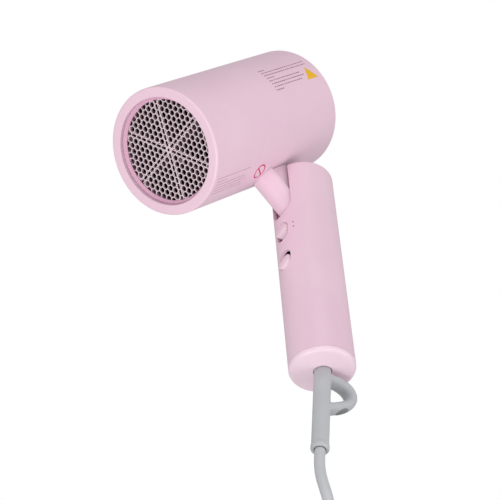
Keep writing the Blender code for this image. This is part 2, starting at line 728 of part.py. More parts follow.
def hinge_fork():
    radius = HANDLE_INNER - GAP
    high = HANDLE_TOP - HANDLE_WALL - GAP
    fork = rod("hinge_fork", radius, FORK_BOTTOM, high, 48)
    room = FORK_ROOM
    outline = arc((0, 0), room, 270, 180, 10) + [(-room, 0.05), (0.03, 0.05), (0.03, -room)]
    combine(fork, plate("fork_slot", outline, 2 * SLOT_HALF, location=(PIVOT_FORWARD, 0, PIVOT_HEIGHT),
                        rotation=FACING_Y))
    combine(fork, rod("fork_bore", PIN_RADIUS + GAP, -0.03, 0.03, 24,
                      location=(PIVOT_FORWARD, 0, PIVOT_HEIGHT), rotation=ALONG_Y))
    combine(fork, rod("cable_hole", 0.003, FORK_BOTTOM - 0.01, PIVOT_HEIGHT - 0.005, 20))
    for side in (-1, 1):
        place_of = (CHASSIS_SCREW[0], side * CHASSIS_SCREW[1], 0)
        combine(fork, rod(f"chassis_screw_hole_{side}", SCREW_RADIUS + GAP, FORK_BOTTOM - 0.002,
                          FORK_BOTTOM + 0.0055, 12, location=place_of))
    finish(fork, PINK)


def hinge_hardware():
    inner = CABLE_SLOT / 2 + GAP
    outer = PIN_SPAN / 2
    face = NECK_WIDTH / 2
    where = {"location": (PIVOT_FORWARD, 0, PIVOT_HEIGHT), "rotation": ALONG_Y}
    for name, side in (("left", 1), ("right", -1)):
        low, high = sorted((side * inner, side * outer))
        finish(rod(f"hinge_pin_{name}", PIN_RADIUS, low, high, 20, **where), STEEL)
        low, high = sorted((side * (face - 0.0006), side * (face + 0.0001)))
        ring = [(PIN_RADIUS + GAP, high), (0.0050, high), (0.0050, low), (PIN_RADIUS + GAP, low)]
        finish(turned(f"hinge_washer_{name}", ring, 24, **where), STEEL)


# Switches: knobs ride in the slots, their flanges stay inside the sleeve

def slider(name, slot, knob):
    """A round wedge-topped knob with a flange and a finger for the switch."""
    radius = KNOB_LENGTH / 2
    centre = slot + knob * SWITCH_TRAVEL / 2
    piece = rod(name, radius, FLANGE_BACK, HANDLE_RADIUS + 0.004, 32, location=(0, 0, centre),
                rotation=ALONG_X)
    slope = math.atan2(KNOB_PROUD + KNOB_SUNK, KNOB_LENGTH)
    middle = HANDLE_RADIUS + (KNOB_PROUD - KNOB_SUNK) / 2
    combine(piece, box(f"{name}_slope", (0, -0.01, -0.012), (0.01, 0.01, 0.012),
                       location=(middle, 0, centre), rotation=(0, -slope, 0)))
    cover = (SWITCH_SLOT_LENGTH + SWITCH_TRAVEL) / 2
    highest = FORK_BOTTOM - GAP - slot - SWITCH_TRAVEL / 2
    low, high = centre - cover, centre + min(cover, highest)
    combine(piece, box(f"{name}_flange", (FLANGE_BACK, -FLANGE_HALF, low), (FLANGE_FRONT, FLANGE_HALF, high)),
            "UNION")
    combine(piece, box(f"{name}_finger", (SWITCH_FRONT + GAP, -0.0015, -0.0012),
                       (FLANGE_BACK + 0.0004, 0.0015, 0.0012), location=(0, 0, centre)), "UNION")
    finish(piece, PALE_PINK)


def switches():
    slider("power_slider", UPPER_SWITCH, 1)
    slider("heat_slider", LOWER_SWITCH, -1)
    board_front = SWITCH_FRONT - 0.0055
    board_back = board_front - 0.0016
    top = FORK_BOTTOM - 0.0008
    board = box("switch_board", (board_back, -0.0125, LOWER_SWITCH - 0.012), (board_front, 0.0125, top))
    finish(board, BOARD)
    body = 0.0054
    for name, height in (("power_switch", min(UPPER_SWITCH, top - body)), ("heat_switch", LOWER_SWITCH)):
        finish(box(name, (board_front + GAP, -0.0042, height - body), (SWITCH_FRONT, 0.0042, height + body)),
               BLACK)


def chassis():
    outer = HANDLE_INNER - GAP
    inner = outer - 0.0016
    high = FORK_BOTTOM - GAP
    low = SLEEVE_END + END_CAP_SPIGOT + 0.0008
    tray = turned("handle_chassis", [(inner, high), (outer, high), (outer, low), (inner, low)], 48)
    combine(tray, box("tray_half", (-0.03, -0.03, low - 0.01), (0.0028, 0.03, high + 0.01)), "INTERSECT")
    back, half = 0.75 * outer, 0.638 * outer
    combine(tray, box("tray_head", (-back, -half, high - 0.002), (-0.0055, half, high)), "UNION")
    post_back = 0.0003 + math.sqrt(inner ** 2 - CLAMP_SPREAD ** 2)
    for side in (-1, 1):
        post = rod(f"clamp_post_{side}", 0.0022, -post_back, 0.0028, 16,
                   location=(0, side * CLAMP_SPREAD, CLAMP_HEIGHT), rotation=ALONG_X)
        combine(tray, post, "UNION")
        combine(tray, rod(f"clamp_bore_{side}", SCREW_RADIUS + GAP, -0.006, 0.01, 12,
                          location=(0, side * CLAMP_SPREAD, CLAMP_HEIGHT), rotation=ALONG_X))
        combine(tray, rod(f"head_bore_{side}", SCREW_RADIUS + GAP, high - 0.01, high + 0.01, 12,
                          location=(CHASSIS_SCREW[0], side * CHASSIS_SCREW[1], 0)))
        screw(f"chassis_screw_{'left' if side > 0 else 'right'}", 0.0068, STEEL,
              location=(CHASSIS_SCREW[0], side * CHASSIS_SCREW[1], high - 0.002 - GAP),
              rotation=(math.pi, 0, 0))
    finish(tray, BLACK)


def cord_clamp():
    low, high = 0.0031, 0.0062
    clamp = box("cord_clamp", (0.0, -0.0095, CLAMP_HEIGHT - 0.003), (high, 0.0095, CLAMP_HEIGHT + 0.003))
    for side in (-1, 1):
        near, far = sorted((side * 0.0040, side * 0.012))
        combine(clamp, box(f"clamp_shoulder_{side}", (-0.001, near, CLAMP_HEIGHT - 0.006),
                           (low, far, CLAMP_HEIGHT + 0.006)))
        combine(clamp, rod(f"clamp_hole_{side}", SCREW_RADIUS + GAP, 0.0, 0.01, 12,
                           location=(0, side * CLAMP_SPREAD, CLAMP_HEIGHT), rotation=ALONG_X))
        screw(f"clamp_screw_{'left' if side > 0 else 'right'}", 0.0075, STEEL,
              location=(high + GAP, side * CLAMP_SPREAD, CLAMP_HEIGHT), rotation=ALONG_X)
    combine(clamp, rod("clamp_groove", CORD_RADIUS + GAP, CLAMP_HEIGHT - 0.01, CLAMP_HEIGHT + 0.01, 24))
    finish(clamp, BLACK)


def handle_wires():
    top = PIVOT_HEIGHT - FORK_ROOM - 0.0012
    low = LEAD_TOP + 2 * GAP
    bent = FORK_BOTTOM - 0.002
    route = [(0, 0, top), (0, 0, bent), (-0.003, 0, bent - 0.0102), (-0.006, 0, bent - 0.0252),
             (-0.0055, 0, low + 0.0194), (-0.001, 0, low + 0.0054), (0, 0, low)]
    finish(tube("handle_wires", smooth_route(route, 0.005), 0.0020, 2), WIRE_SLEEVE)


# Cord guard and cord

def along_guard(distance):
    """Point on the guard's leaning axis."""
    return Vector((math.sin(GUARD_LEAN) * distance, 0, HANDLE_END - math.cos(GUARD_LEAN) * distance))


def cord_guard():
    lean = (0, math.pi - GUARD_LEAN, 0)
    lip = 0.0042
    inside = HANDLE_END + 0.0022 + GAP
    stem = [(0, inside + 0.006), (GUARD_RADIUS, inside + 0.006), (GUARD_RADIUS, inside + 0.002)]
    stem += [(0.0072, inside + 0.002), (0.0072, inside), (GUARD_RADIUS, inside)]
    stem += [(GUARD_RADIUS, HANDLE_END - 0.0004), (0, HANDLE_END - 0.0004)]
    guard = turned("cord_guard", stem, 24)
    sleeve = [(0, GUARD_LENGTH), (GUARD_LIP_RADIUS - 0.0006, GUARD_LENGTH)]
    sleeve += [(GUARD_LIP_RADIUS, GUARD_LENGTH - 0.0006), (GUARD_LIP_RADIUS, GUARD_LENGTH - lip + 0.001)]
    sleeve += [(GUARD_RADIUS, GUARD_LENGTH - lip), (GUARD_RADIUS - 0.00005, -0.0002), (0, -0.0002)]
    combine(guard, turned("guard_sleeve", sleeve, 24, location=(0, 0, HANDLE_END), rotation=lean), "UNION")
    loop = tube("hanging_loop", smooth_route(hanging(LOOP_ROUTE), 0.0035), LOOP_THICKNESS / 2, 3)
    loop.data.transform(Matrix.Diagonal((1, LOOP_WIDTH / LOOP_THICKNESS, 1, 1)))
    combine(guard, loop, "UNION")
    bore = CORD_RADIUS + GAP
    combine(guard, rod("stem_bore", bore, HANDLE_END - 0.001, inside + 0.01, 24))
    combine(guard, rod("sleeve_bore", bore - 0.00003, -0.0012, GUARD_LENGTH + 0.005, 24,
                       location=(0, 0, HANDLE_END), rotation=lean))
    finish(guard, GREY_RUBBER)


def cord():
    for name, route in (("cord", CORD_ROUTE), ("cord_tail", TAIL_ROUTE)):
        points = smooth_route(hanging(route), 2.2 * CORD_WIDTH)
        finish(tube(name, points, CORD_RADIUS, 3), GREY_RUBBER)
    lead = [(0, 0, LEAD_TOP), (0, 0, CLAMP_HEIGHT - 0.010), (0, 0, HANDLE_END + 0.002), along_guard(0.003)]
    lead += [along_guard(0.03), along_guard(GUARD_LENGTH - 0.0002)]
    finish(tube("cord_lead", lead, CORD_RADIUS - 0.0003, 2), GREY_RUBBER)


def coil():
    inner = COIL_MEAN_RADIUS - COIL_HALF_WIDTH
    outer = COIL_MEAN_RADIUS + COIL_HALF_WIDTH
    low = COIL_BOTTOM
    high = COIL_BOTTOM + COIL_HEIGHT
    edge = 0.75 * CORD_RADIUS
    profile = [(inner + edge, high), (outer - edge, high), (outer, high - edge), (outer, low + edge)]
    profile += [(outer - edge, low), (inner + edge, low), (inner, low + edge), (inner, high - edge)]
    finish(turned("cord_coil", profile, 36, location=(*COIL_CENTRE, 0)), GREY_RUBBER)
    half = COIL_HALF_WIDTH + TIE_ROOM
    where = {
        "location": (COIL_CENTRE[0] + COIL_MEAN_RADIUS * math.cos(TIE_ANGLE),
                     COIL_CENTRE[1] + COIL_MEAN_RADIUS * math.sin(TIE_ANGLE), 0),
        "rotation": (0, 0, TIE_ANGLE),
    }
    tie = box("coil_tie", (-half - TIE_THICKNESS, -TIE_WIDTH / 2, FLOOR),
              (half + TIE_THICKNESS, TIE_WIDTH / 2, high + TIE_ROOM + TIE_THICKNESS), **where)
    combine(tie, box("tie_room", (-half, -TIE_WIDTH, FLOOR + TIE_THICKNESS),
                     (half, TIE_WIDTH, high + TIE_ROOM), **where))
    finish(tie, BLACK)


def plug():
    """Two-pin plug that lies along +X; local Y runs from the cord to the pins."""
    x, y, z = hanging(TAIL_ROUTE)[-1]
    lying = empty("plug_place", (x + GAP, y, z), (0, 0, -math.pi / 2))
    width, length, height = PLUG_SIZE
    low = FLOOR - z
    end = PLUG_NECK + length
    body = box("plug_body", (-width / 2, PLUG_NECK, low), (width / 2, end, low + height), parent=lying)
    rounding = body.modifiers.new("rounding", "BEVEL")
    rounding.width = PLUG_EDGE
    rounding.segments = 2
    neck = [(0, PLUG_NECK + 0.004), (0.0052, PLUG_NECK + 0.004), (0.0048, PLUG_NECK), (0.0036, 0), (0, 0)]
    combine(body, turned("plug_neck", neck, 24, rotation=ALONG_Y, parent=lying), "UNION")
    room = Vector((GAP, GAP, GAP))
    thick, wide = PIN_SECTION
    for name, side in (("left", -1), ("right", 1)):
        middle = side * PIN_SPREAD
        start = Vector((middle - thick / 2, end - PIN_ROOT, low + height / 2 - wide / 2))
        tip = Vector((middle + thick / 2, end + PIN_LENGTH, low + height / 2 + wide / 2))
        combine(body, box(f"pin_socket_{name}", start - room, tip + room, parent=lying))
        finish(box(f"plug_pin_{name}", start, tip, parent=lying), BRASS)
    finish(body, GREY_RUBBER)


barrel_shell()
outlet_collar()
outlet_grille()
rear_cover()
inlet_filter()
hinge_neck()
motor_mount()
motor()
fan()
heater()
barrel_wires()
handle_shell()
end_cap()
hinge_fork()
hinge_hardware()
switches()
chassis()
cord_clamp()
handle_wires()
cord_guard()
cord()
coil()
plug()
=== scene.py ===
# %% [markdown]
# # A folding hair dryer, finished
#
# This lesson dresses the working model of a small folding hair dryer: a satin pink barrel with a
# honeycomb grille, a neck that folds into a round handle, two slide switches, a grey rubber cord
# guard and a long grey cord. The working model is loaded first and never changed. Pieces that need
# a finer surface are built again on the same sizes, and every other piece gets a better finish.

# %% Load the working model
import json
import math
import random

import bmesh
import bpy
from mathutils import Matrix, Vector
from mathutils.geometry import interpolate_bezier


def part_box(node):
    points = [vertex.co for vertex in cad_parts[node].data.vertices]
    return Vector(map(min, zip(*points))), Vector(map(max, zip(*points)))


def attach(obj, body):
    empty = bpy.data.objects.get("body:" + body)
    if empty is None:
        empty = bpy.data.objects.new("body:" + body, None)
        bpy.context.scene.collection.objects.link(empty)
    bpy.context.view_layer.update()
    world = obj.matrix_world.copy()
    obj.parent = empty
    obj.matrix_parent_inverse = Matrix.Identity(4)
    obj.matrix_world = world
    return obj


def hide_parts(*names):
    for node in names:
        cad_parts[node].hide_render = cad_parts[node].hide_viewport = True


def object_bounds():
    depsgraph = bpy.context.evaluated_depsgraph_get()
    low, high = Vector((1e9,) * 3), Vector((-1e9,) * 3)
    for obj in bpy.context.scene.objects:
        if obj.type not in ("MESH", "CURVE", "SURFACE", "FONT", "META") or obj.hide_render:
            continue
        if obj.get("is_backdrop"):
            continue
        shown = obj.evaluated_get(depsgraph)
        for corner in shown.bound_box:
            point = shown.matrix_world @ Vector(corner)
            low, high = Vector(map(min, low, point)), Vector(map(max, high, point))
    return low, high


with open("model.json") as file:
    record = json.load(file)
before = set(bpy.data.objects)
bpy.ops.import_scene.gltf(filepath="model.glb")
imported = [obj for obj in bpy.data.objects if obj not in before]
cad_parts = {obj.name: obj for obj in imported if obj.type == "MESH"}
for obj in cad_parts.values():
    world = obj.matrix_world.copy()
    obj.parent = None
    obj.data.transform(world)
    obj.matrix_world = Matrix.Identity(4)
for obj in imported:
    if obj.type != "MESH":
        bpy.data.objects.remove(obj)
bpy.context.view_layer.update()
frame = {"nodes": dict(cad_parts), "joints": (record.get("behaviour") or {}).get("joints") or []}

nodes = frame["nodes"]
joints = {joint["name"]: joint for joint in frame["joints"]}

# %% [markdown]
# ## Two sets of axes
#
# The handle stands upright in the model's own axes. The barrel leans on the fold hinge, so it gets
# a matrix of its own: X runs forward along the air stream, Y to the left and Z up, with the origin
# in the middle of the outlet face. A turned piece wants its axis on Z, so a second matrix swaps
# the axes round. Both come from the fan's joint, and the sizes come from measuring the nodes.

# %% Axes of the barrel and sizes of the casings
air = Vector(joints["fan_spin"]["axis"]).normalized()
left = Vector((0, 1, 0))
upward = air.cross(left)
fan_point = Vector(joints["fan_spin"]["pos_m"])


def reach(node, direction, start):
    """Nearest and farthest distance of a node's points along a direction."""
    along = [(vertex.co - start).dot(direction) for vertex in nodes[node].data.vertices]
    return min(along), max(along)


rear_face, outlet_face = reach("barrel_shell", air, fan_point)
barrel_length = outlet_face - rear_face
outlet_centre = fan_point + air * outlet_face
BARREL_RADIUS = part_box("barrel_shell")[1].y


def matrix_of(x_axis, y_axis, z_axis, origin):
    matrix = Matrix((x_axis, y_axis, z_axis)).transposed().to_4x4()
    matrix.translation = origin
    return matrix


BARREL = matrix_of(air, left, upward, outlet_centre)
TURNED_BARREL = matrix_of(-upward, left, air, outlet_centre)
hinge = Vector(joints["fold_hinge"]["pos_m"])
hinge_low = (hinge - outlet_centre).dot(upward)
hinge_back = (hinge - outlet_centre).dot(air)
handle_low, handle_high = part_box("handle_shell")
HANDLE_RADIUS = handle_high.y
HANDLE_TOP = handle_high.z
HANDLE_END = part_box("handle_end_cap")[0].z
print("barrel", round(2000 * BARREL_RADIUS, 1), "x", round(1000 * barrel_length, 1), "mm; handle",
      round(2000 * HANDLE_RADIUS, 1), "x", round(1000 * (HANDLE_TOP - HANDLE_END), 1), "mm")

# %% [markdown]
# ## The camera
#
# The dryer is seen from below and from its left, nearly along a corner of the room, with a long
# lens. A camera's matrix holds its right, up and backward directions, so writing those down keeps
# the roll as well, which aiming the camera at a point would lose.

# %% Camera
CAMERA_PLACE = Vector((0.4687, 0.5781, -0.6807))
CAMERA_RIGHT = Vector((-0.8347, 0.5474, -0.0603)).normalized()
CAMERA_UP = Vector((0.3442, 0.6040, 0.7188))
LENS_MM = 136.27

camera_data = bpy.data.cameras.new("camera")
camera_data.lens = LENS_MM
camera_data.sensor_width = 36
camera_data.clip_start = 0.01
camera_data.clip_end = 50
camera = bpy.data.objects.new("camera", camera_data)
bpy.context.scene.collection.objects.link(camera)
backward = CAMERA_RIGHT.cross(CAMERA_UP).normalized()
camera.matrix_world = matrix_of(CAMERA_RIGHT, backward.cross(CAMERA_RIGHT), backward, CAMERA_PLACE)
bpy.context.scene.camera = camera
print("camera", round(CAMERA_PLACE.length, 2), "m from the grip")

# %% [markdown]
# ## The cord's line
#
# A cord keeps its length and never bends sharply. This one leaves the rubber guard, hangs down to
# the surface below, and the rest of it is wound for storage: a flat coil of two layers, spiralling
# in along the top and out again underneath, so that no turn lies inside another. The free ends are
# a few given points with a smooth curve through them. The coil is worked out by a loop.

# %% Free ends of the cord
CORD_RADIUS = 0.0028
CORD_WIDTH = 2 * CORD_RADIUS
CORD_ROUTE = [(0.0073, 0, -0.1108), (0.0084, 0, -0.1188), (0.0086, 0.0003, -0.1265),
              (0.0076, 0.0008, -0.1340), (0.0058, 0.0004, -0.1415), (0.0040, -0.0024, -0.1500),
              (0.0030, -0.0080, -0.1590), (0.0030, -0.0165, -0.1670), (0.0038, -0.0275, -0.1735),
              (0.0045, -0.0390, -0.1778), (0.0049, -0.0500, -0.1797), (0.0049, -0.0560, -0.1802)]
TAIL_ROUTE = [(0.0550, -0.1025, -0.1860), (0.0590, -0.1025, -0.1857), (0.0630, -0.1025, -0.1847),
              (0.0668, -0.1025, -0.1834), (0.0705, -0.1025, -0.1831)]


def smooth_route(route, spacing):
    """Points about one spacing apart on a smooth curve through the route's points."""
    route = [Vector(point) for point in route]
    ends = [route[0] * 2 - route[1]] + route + [route[-1] * 2 - route[-2]]
    points = [route[0]]
    for i in range(1, len(route)):
        before, start, end, after = ends[i - 1:i + 3]
        steps = max(2, round((end - start).length / spacing) + 1)
        points += interpolate_bezier(start, start + (end - before) / 6, end - (after - start) / 6, end,
                                     steps)[1:]
    return points


# %% Coil of the cord
coil_low, coil_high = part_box("cord_coil")
coil_centre = (coil_low + coil_high) / 2
OUTER_TURN = (coil_high.x - coil_low.x) / 2 - CORD_RADIUS
BOTTOM_LAYER = coil_low.z + CORD_RADIUS
TURN_PITCH = 1.01 * CORD_WIDTH
TURNS = 7
ENTRY, DROP, EXIT = 55, 60, 105      # degrees of winding spent on each change
POINTS_A_TURN = 36


def eased(share):
    share = min(1, max(0, share))
    return share * share * (3 - 2 * share)


def around_coil(point):
    """Angle in degrees and radius of a point, seen from above the coil."""
    away = Vector(point) - coil_centre
    return math.degrees(math.atan2(away.y, away.x)), math.hypot(away.x, away.y)


def wound():
    """Points of the coil: in along the top layer, down, and out along the bottom one."""
    first, start_radius = around_coil(CORD_ROUTE[-1])
    last, end_radius = around_coil(TAIL_ROUTE[0])
    sweep = (last - first) % 360 + 360 * TURNS
    layer = (sweep - ENTRY - DROP - EXIT) / 2
    points = []
    steps = round(sweep / 360 * POINTS_A_TURN)
    for i in range(1, steps):
        run = sweep * i / steps
        inward = min(layer, max(0, run - ENTRY))
        outward = min(layer, max(0, run - ENTRY - layer - DROP))
        entering = 1 - eased(run / ENTRY)
        leaving = eased((run - ENTRY - DROP - 2 * layer) / EXIT)
        radius = OUTER_TURN - TURN_PITCH * (inward - outward) / 360
        radius += (start_radius - OUTER_TURN) * entering + (end_radius - OUTER_TURN) * leaving
        height = BOTTOM_LAYER + CORD_WIDTH * (1 - eased((run - ENTRY - layer) / DROP))
        height += (CORD_ROUTE[-1][2] - BOTTOM_LAYER - CORD_WIDTH) * entering
        height += (TAIL_ROUTE[0][2] - BOTTOM_LAYER) * leaving
        angle = math.radians(first + run)
        points.append(Vector((coil_centre.x + radius * math.cos(angle),
                              coil_centre.y + radius * math.sin(angle), height)))
    return points, OUTER_TURN - TURN_PITCH * layer / 360


coil_points, inner_turn = wound()
cord_points = smooth_route(CORD_ROUTE, 0.003) + coil_points + smooth_route(TAIL_ROUTE, 0.003)
cord_length = sum((b - a).length for a, b in zip(cord_points, cord_points[1:]))
print("cord", round(cord_length, 3), "m; tightest turn", round(1000 * inner_turn, 1), "mm")


# %% The cord as a round curve
def add_object(name, data):
    piece = bpy.data.objects.new(name, data)
    bpy.context.scene.collection.objects.link(piece)
    return piece


def round_curve(name, points, radius, resolution=6):
    """A round tube. The radius is kept at the points, so that the curve's own box is right too."""
    curve = bpy.data.curves.new(name, "CURVE")
    curve.dimensions = "3D"
    curve.bevel_depth = 1
    curve.bevel_resolution = resolution
    curve.use_fill_caps = True
    spline = curve.splines.new("POLY")
    spline.points.add(len(points) - 1)
    for target, point in zip(spline.points, points):
        target.co = (*point, 1)
        target.radius = radius
    return add_object(name, curve)


mains_cord = round_curve("mains_cord", cord_points, CORD_RADIUS)
print("cord has", len(cord_points), "points")

# %% [markdown]
# ## Floor, world and lights
#
# The dryer is lit like a thing in a catalogue: a pale floor, a white surround and large soft
# lamps. The floor lets the eye through from underneath, because the main view looks up from below
# it, and it casts no shadow, so that the lamps below still light the dryer's underside.

# %% Node helpers
def add_node(tree, kind, **settings):
    made = tree.nodes.new(kind)
    for key, value in settings.items():
        setattr(made, key, value)
    return made


def link(tree, source, target):
    tree.links.new(source, target)


def new_material(name):
    finish = bpy.data.materials.new(name)
    finish.use_nodes = True
    tree = finish.node_tree
    return finish, tree, tree.nodes["Principled BSDF"]


# %% Floor
FLOOR = coil_low.z - 0.0009
FLOOR_SIZE = 6
bpy.ops.mesh.primitive_plane_add(size=FLOOR_SIZE, location=(0, 0, FLOOR))
floor = bpy.context.object
floor.name = "floor"
floor.visible_shadow = False
floor_finish, tree, shader = new_material("pale_floor")
mottle = add_node(tree, "ShaderNodeTexNoise")
mottle.inputs["Scale"].default_value = 9
mottle.inputs["Detail"].default_value = 6
tint = add_node(tree, "ShaderNodeMix", data_type="RGBA")
tint.inputs["A"].default_value = (0.80, 0.80, 0.80, 1)
tint.inputs["B"].default_value = (0.86, 0.86, 0.85, 1)
place_of = add_node(tree, "ShaderNodeTexCoord")
link(tree, place_of.outputs["Object"], mottle.inputs["Vector"])
link(tree, mottle.outputs["Fac"], tint.inputs["Factor"])
link(tree, tint.outputs["Result"], shader.inputs["Base Color"])
shader.inputs["Roughness"].default_value = 0.7
clear = add_node(tree, "ShaderNodeBsdfTransparent")
side = add_node(tree, "ShaderNodeNewGeometry")
choice = add_node(tree, "ShaderNodeMixShader")
output = tree.nodes["Material Output"]
link(tree, side.outputs["Backfacing"], choice.inputs[0])
link(tree, shader.outputs[0], choice.inputs[1])
link(tree, clear.outputs[0], choice.inputs[2])
link(tree, choice.outputs[0], output.inputs["Surface"])
floor.data.materials.append(floor_finish)
floor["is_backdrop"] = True
print("floor at", round(1000 * FLOOR, 1), "mm")

# %% World: white to the eye, softer as light
WORLD_LIGHT = 0.50
world = bpy.data.worlds.new("white_surround")
bpy.context.scene.world = world
world.use_nodes = True
tree = world.node_tree
seen = tree.nodes["Background"]
seen.inputs["Color"].default_value = (1, 1, 1, 1)
seen.inputs["Strength"].default_value = 1
lighting = add_node(tree, "ShaderNodeBackground")
lighting.inputs["Color"].default_value = (1, 0.985, 0.99, 1)
lighting.inputs["Strength"].default_value = WORLD_LIGHT
rays = add_node(tree, "ShaderNodeLightPath")
mixed = add_node(tree, "ShaderNodeMixShader")
link(tree, rays.outputs["Is Camera Ray"], mixed.inputs[0])
link(tree, lighting.outputs[0], mixed.inputs[1])
link(tree, seen.outputs[0], mixed.inputs[2])
link(tree, mixed.outputs[0], tree.nodes["World Output"].inputs["Surface"])
bpy.context.scene.view_settings.view_transform = "Standard"
print("world light", WORLD_LIGHT)

# %% Soft lamps, placed by the directions of the main view
toward_camera = backward
right_of_view = CAMERA_RIGHT
top_of_view = backward.cross(CAMERA_RIGHT)


def soft_lamp(name, right, top, near, size, power, colour=(1, 1, 1)):
    """A square lamp that looks at the grip from a place given in the main view's directions."""
    lamp = bpy.data.lights.new(name, "AREA")
    lamp.size = size
    lamp.energy = power
    lamp.color = colour
    holder = add_object(name, lamp)
    place = right_of_view * right + top_of_view * top + toward_camera * near
    holder.location = place
    holder.rotation_euler = place.to_track_quat("Z", "Y").to_euler()
    holder.visible_camera = False
    return holder


soft_lamp("lamp_key", -0.62, -0.60, 1.05, 0.7, 11)
soft_lamp("lamp_above", 0.1, 1.1, 0.5, 0.9, 5)
soft_lamp("lamp_right", 1.2, -0.3, 0.6, 0.8, 7)
print("three soft lamps")

# %% [markdown]
# ## Surface effects that several finishes share
#
# A moulded plastic is never one flat colour. Its dye is slightly cloudy, its skin has a fine
# spark-eroded grain, and hands leave faint duller patches. Each of these is a node group, built
# once, that puts out colours, masks or heights. The shader itself stays in each material.

# %% A small kit for node groups
def new_group(name, inputs, outputs):
    """A shader node group. inputs: (name, kind, value); outputs: (name, kind)."""
    tree = bpy.data.node_groups.new(name, "ShaderNodeTree")
    for label, kind, value in inputs:
        made = tree.interface.new_socket(label, in_out="INPUT", socket_type=kind)
        if value is not None:
            made.default_value = value
    for label, kind in outputs:
        tree.interface.new_socket(label, in_out="OUTPUT", socket_type=kind)
    return tree, tree.nodes.new("NodeGroupInput"), tree.nodes.new("NodeGroupOutput")


def noise(tree, vector, scale, detail=4.0, roughness=0.55):
    made = add_node(tree, "ShaderNodeTexNoise")
    made.inputs["Detail"].default_value = detail
    made.inputs["Roughness"].default_value = roughness
    link(tree, vector, made.inputs["Vector"])
    if isinstance(scale, (int, float)):
        made.inputs["Scale"].default_value = scale
    else:
        link(tree, scale, made.inputs["Scale"])
    return made.outputs["Fac"]


def maths(tree, operation, first, second, clamp=False):
    made = add_node(tree, "ShaderNodeMath", operation=operation, use_clamp=clamp)
    for socket, value in zip(made.inputs, (first, second)):
        if isinstance(value, (int, float)):
            socket.default_value = value
        else:
            link(tree, value, socket)
    return made.outputs[0]


def blended(tree, share, first, second):
    """Mix of two colours, each a socket or an RGB triple."""
    made = add_node(tree, "ShaderNodeMix", data_type="RGBA")
    link(tree, share, made.inputs["Factor"])
    for label, value in (("A", first), ("B", second)):
        if isinstance(value, tuple):
            made.inputs[label].default_value = (*value, 1)
        else:
            link(tree, value, made.inputs[label])
    return made.outputs["Result"]


FLOAT, COLOUR, VECTOR = "NodeSocketFloat", "NodeSocketColor", "NodeSocketVector"


# %% Cloudy dye: two close colours drifting into each other
def cloudy_dye():
    tree, ins, outs = new_group("cloudy_dye", [("Vector", VECTOR, None), ("Colour", COLOUR, None),
                                               ("Second Colour", COLOUR, None), ("Scale", FLOAT, 20.0)],
                                [("Colour", COLOUR), ("Mask", FLOAT)])
    drift = noise(tree, ins.outputs["Vector"], ins.outputs["Scale"], 3)
    share = maths(tree, "MULTIPLY_ADD", drift, 2.2, True)
    share.node.inputs[2].default_value = -0.6
    link(tree, blended(tree, share, ins.outputs["Colour"], ins.outputs["Second Colour"]),
         outs.inputs["Colour"])
    link(tree, share, outs.inputs["Mask"])
    return tree


# %% Fine grain: a height of tiny bumps, and a roughness that follows it
def fine_grain():
    tree, ins, outs = new_group("fine_grain", [("Vector", VECTOR, None), ("Scale", FLOAT, 2600.0),
                                               ("Roughness", FLOAT, 0.4), ("Spread", FLOAT, 0.08)],
                                [("Height", FLOAT), ("Roughness", FLOAT)])
    small = noise(tree, ins.outputs["Vector"], ins.outputs["Scale"], 2)
    large = noise(tree, ins.outputs["Vector"], maths(tree, "MULTIPLY", ins.outputs["Scale"], 0.12), 2)
    height = maths(tree, "ADD", small, maths(tree, "MULTIPLY", large, 0.8))
    link(tree, height, outs.inputs["Height"])
    change = maths(tree, "MULTIPLY", maths(tree, "SUBTRACT", large, 0.5), ins.outputs["Spread"])
    link(tree, maths(tree, "ADD", ins.outputs["Roughness"], change, True), outs.inputs["Roughness"])
    return tree


# %% Handling marks: a soft mask of smudges
def handling_marks():
    tree, ins, outs = new_group("handling_marks", [("Vector", VECTOR, None), ("Scale", FLOAT, 60.0),
                                                   ("Amount", FLOAT, 0.5)], [("Mask", FLOAT)])
    patches = noise(tree, ins.outputs["Vector"], ins.outputs["Scale"], 5, 0.65)
    mask = maths(tree, "MULTIPLY_ADD", patches, 5.0, True)
    mask.node.inputs[2].default_value = -2.7
    link(tree, maths(tree, "MULTIPLY", mask, ins.outputs["Amount"]), outs.inputs["Mask"])
    return tree


# %% Brushed lines: noise stretched along one direction
def brushed_lines():
    tree, ins, outs = new_group("brushed_lines", [("Vector", VECTOR, None), ("Stretch", VECTOR, None),
                                                  ("Roughness", FLOAT, 0.3)],
                                [("Height", FLOAT), ("Roughness", FLOAT)])
    stretched = add_node(tree, "ShaderNodeVectorMath", operation="MULTIPLY")
    link(tree, ins.outputs["Vector"], stretched.inputs[0])
    link(tree, ins.outputs["Stretch"], stretched.inputs[1])
    lines = noise(tree, stretched.outputs[0], 1.0, 6, 0.6)
    link(tree, lines, outs.inputs["Height"])
    change = maths(tree, "MULTIPLY", maths(tree, "SUBTRACT", lines, 0.5), 0.35)
    link(tree, maths(tree, "ADD", ins.outputs["Roughness"], change, True), outs.inputs["Roughness"])
    return tree


# %% Braid: crossing waves, for woven glass-fibre sleeves and fabric tape
def braid():
    tree, ins, outs = new_group("braid", [("Vector", VECTOR, None), ("Scale", FLOAT, 500.0)],
                                [("Height", FLOAT)])
    waves = []
    for direction in ("X", "Z"):
        wave = add_node(tree, "ShaderNodeTexWave", bands_direction=direction)
        link(tree, ins.outputs["Vector"], wave.inputs["Vector"])
        link(tree, ins.outputs["Scale"], wave.inputs["Scale"])
        waves.append(wave.outputs["Fac"])
    link(tree, maths(tree, "MULTIPLY", *waves), outs.inputs["Height"])
    return tree


GROUPS = {make.__name__: make() for make in (cloudy_dye, fine_grain, handling_marks, brushed_lines, braid)}
print("surface groups:", ", ".join(GROUPS))

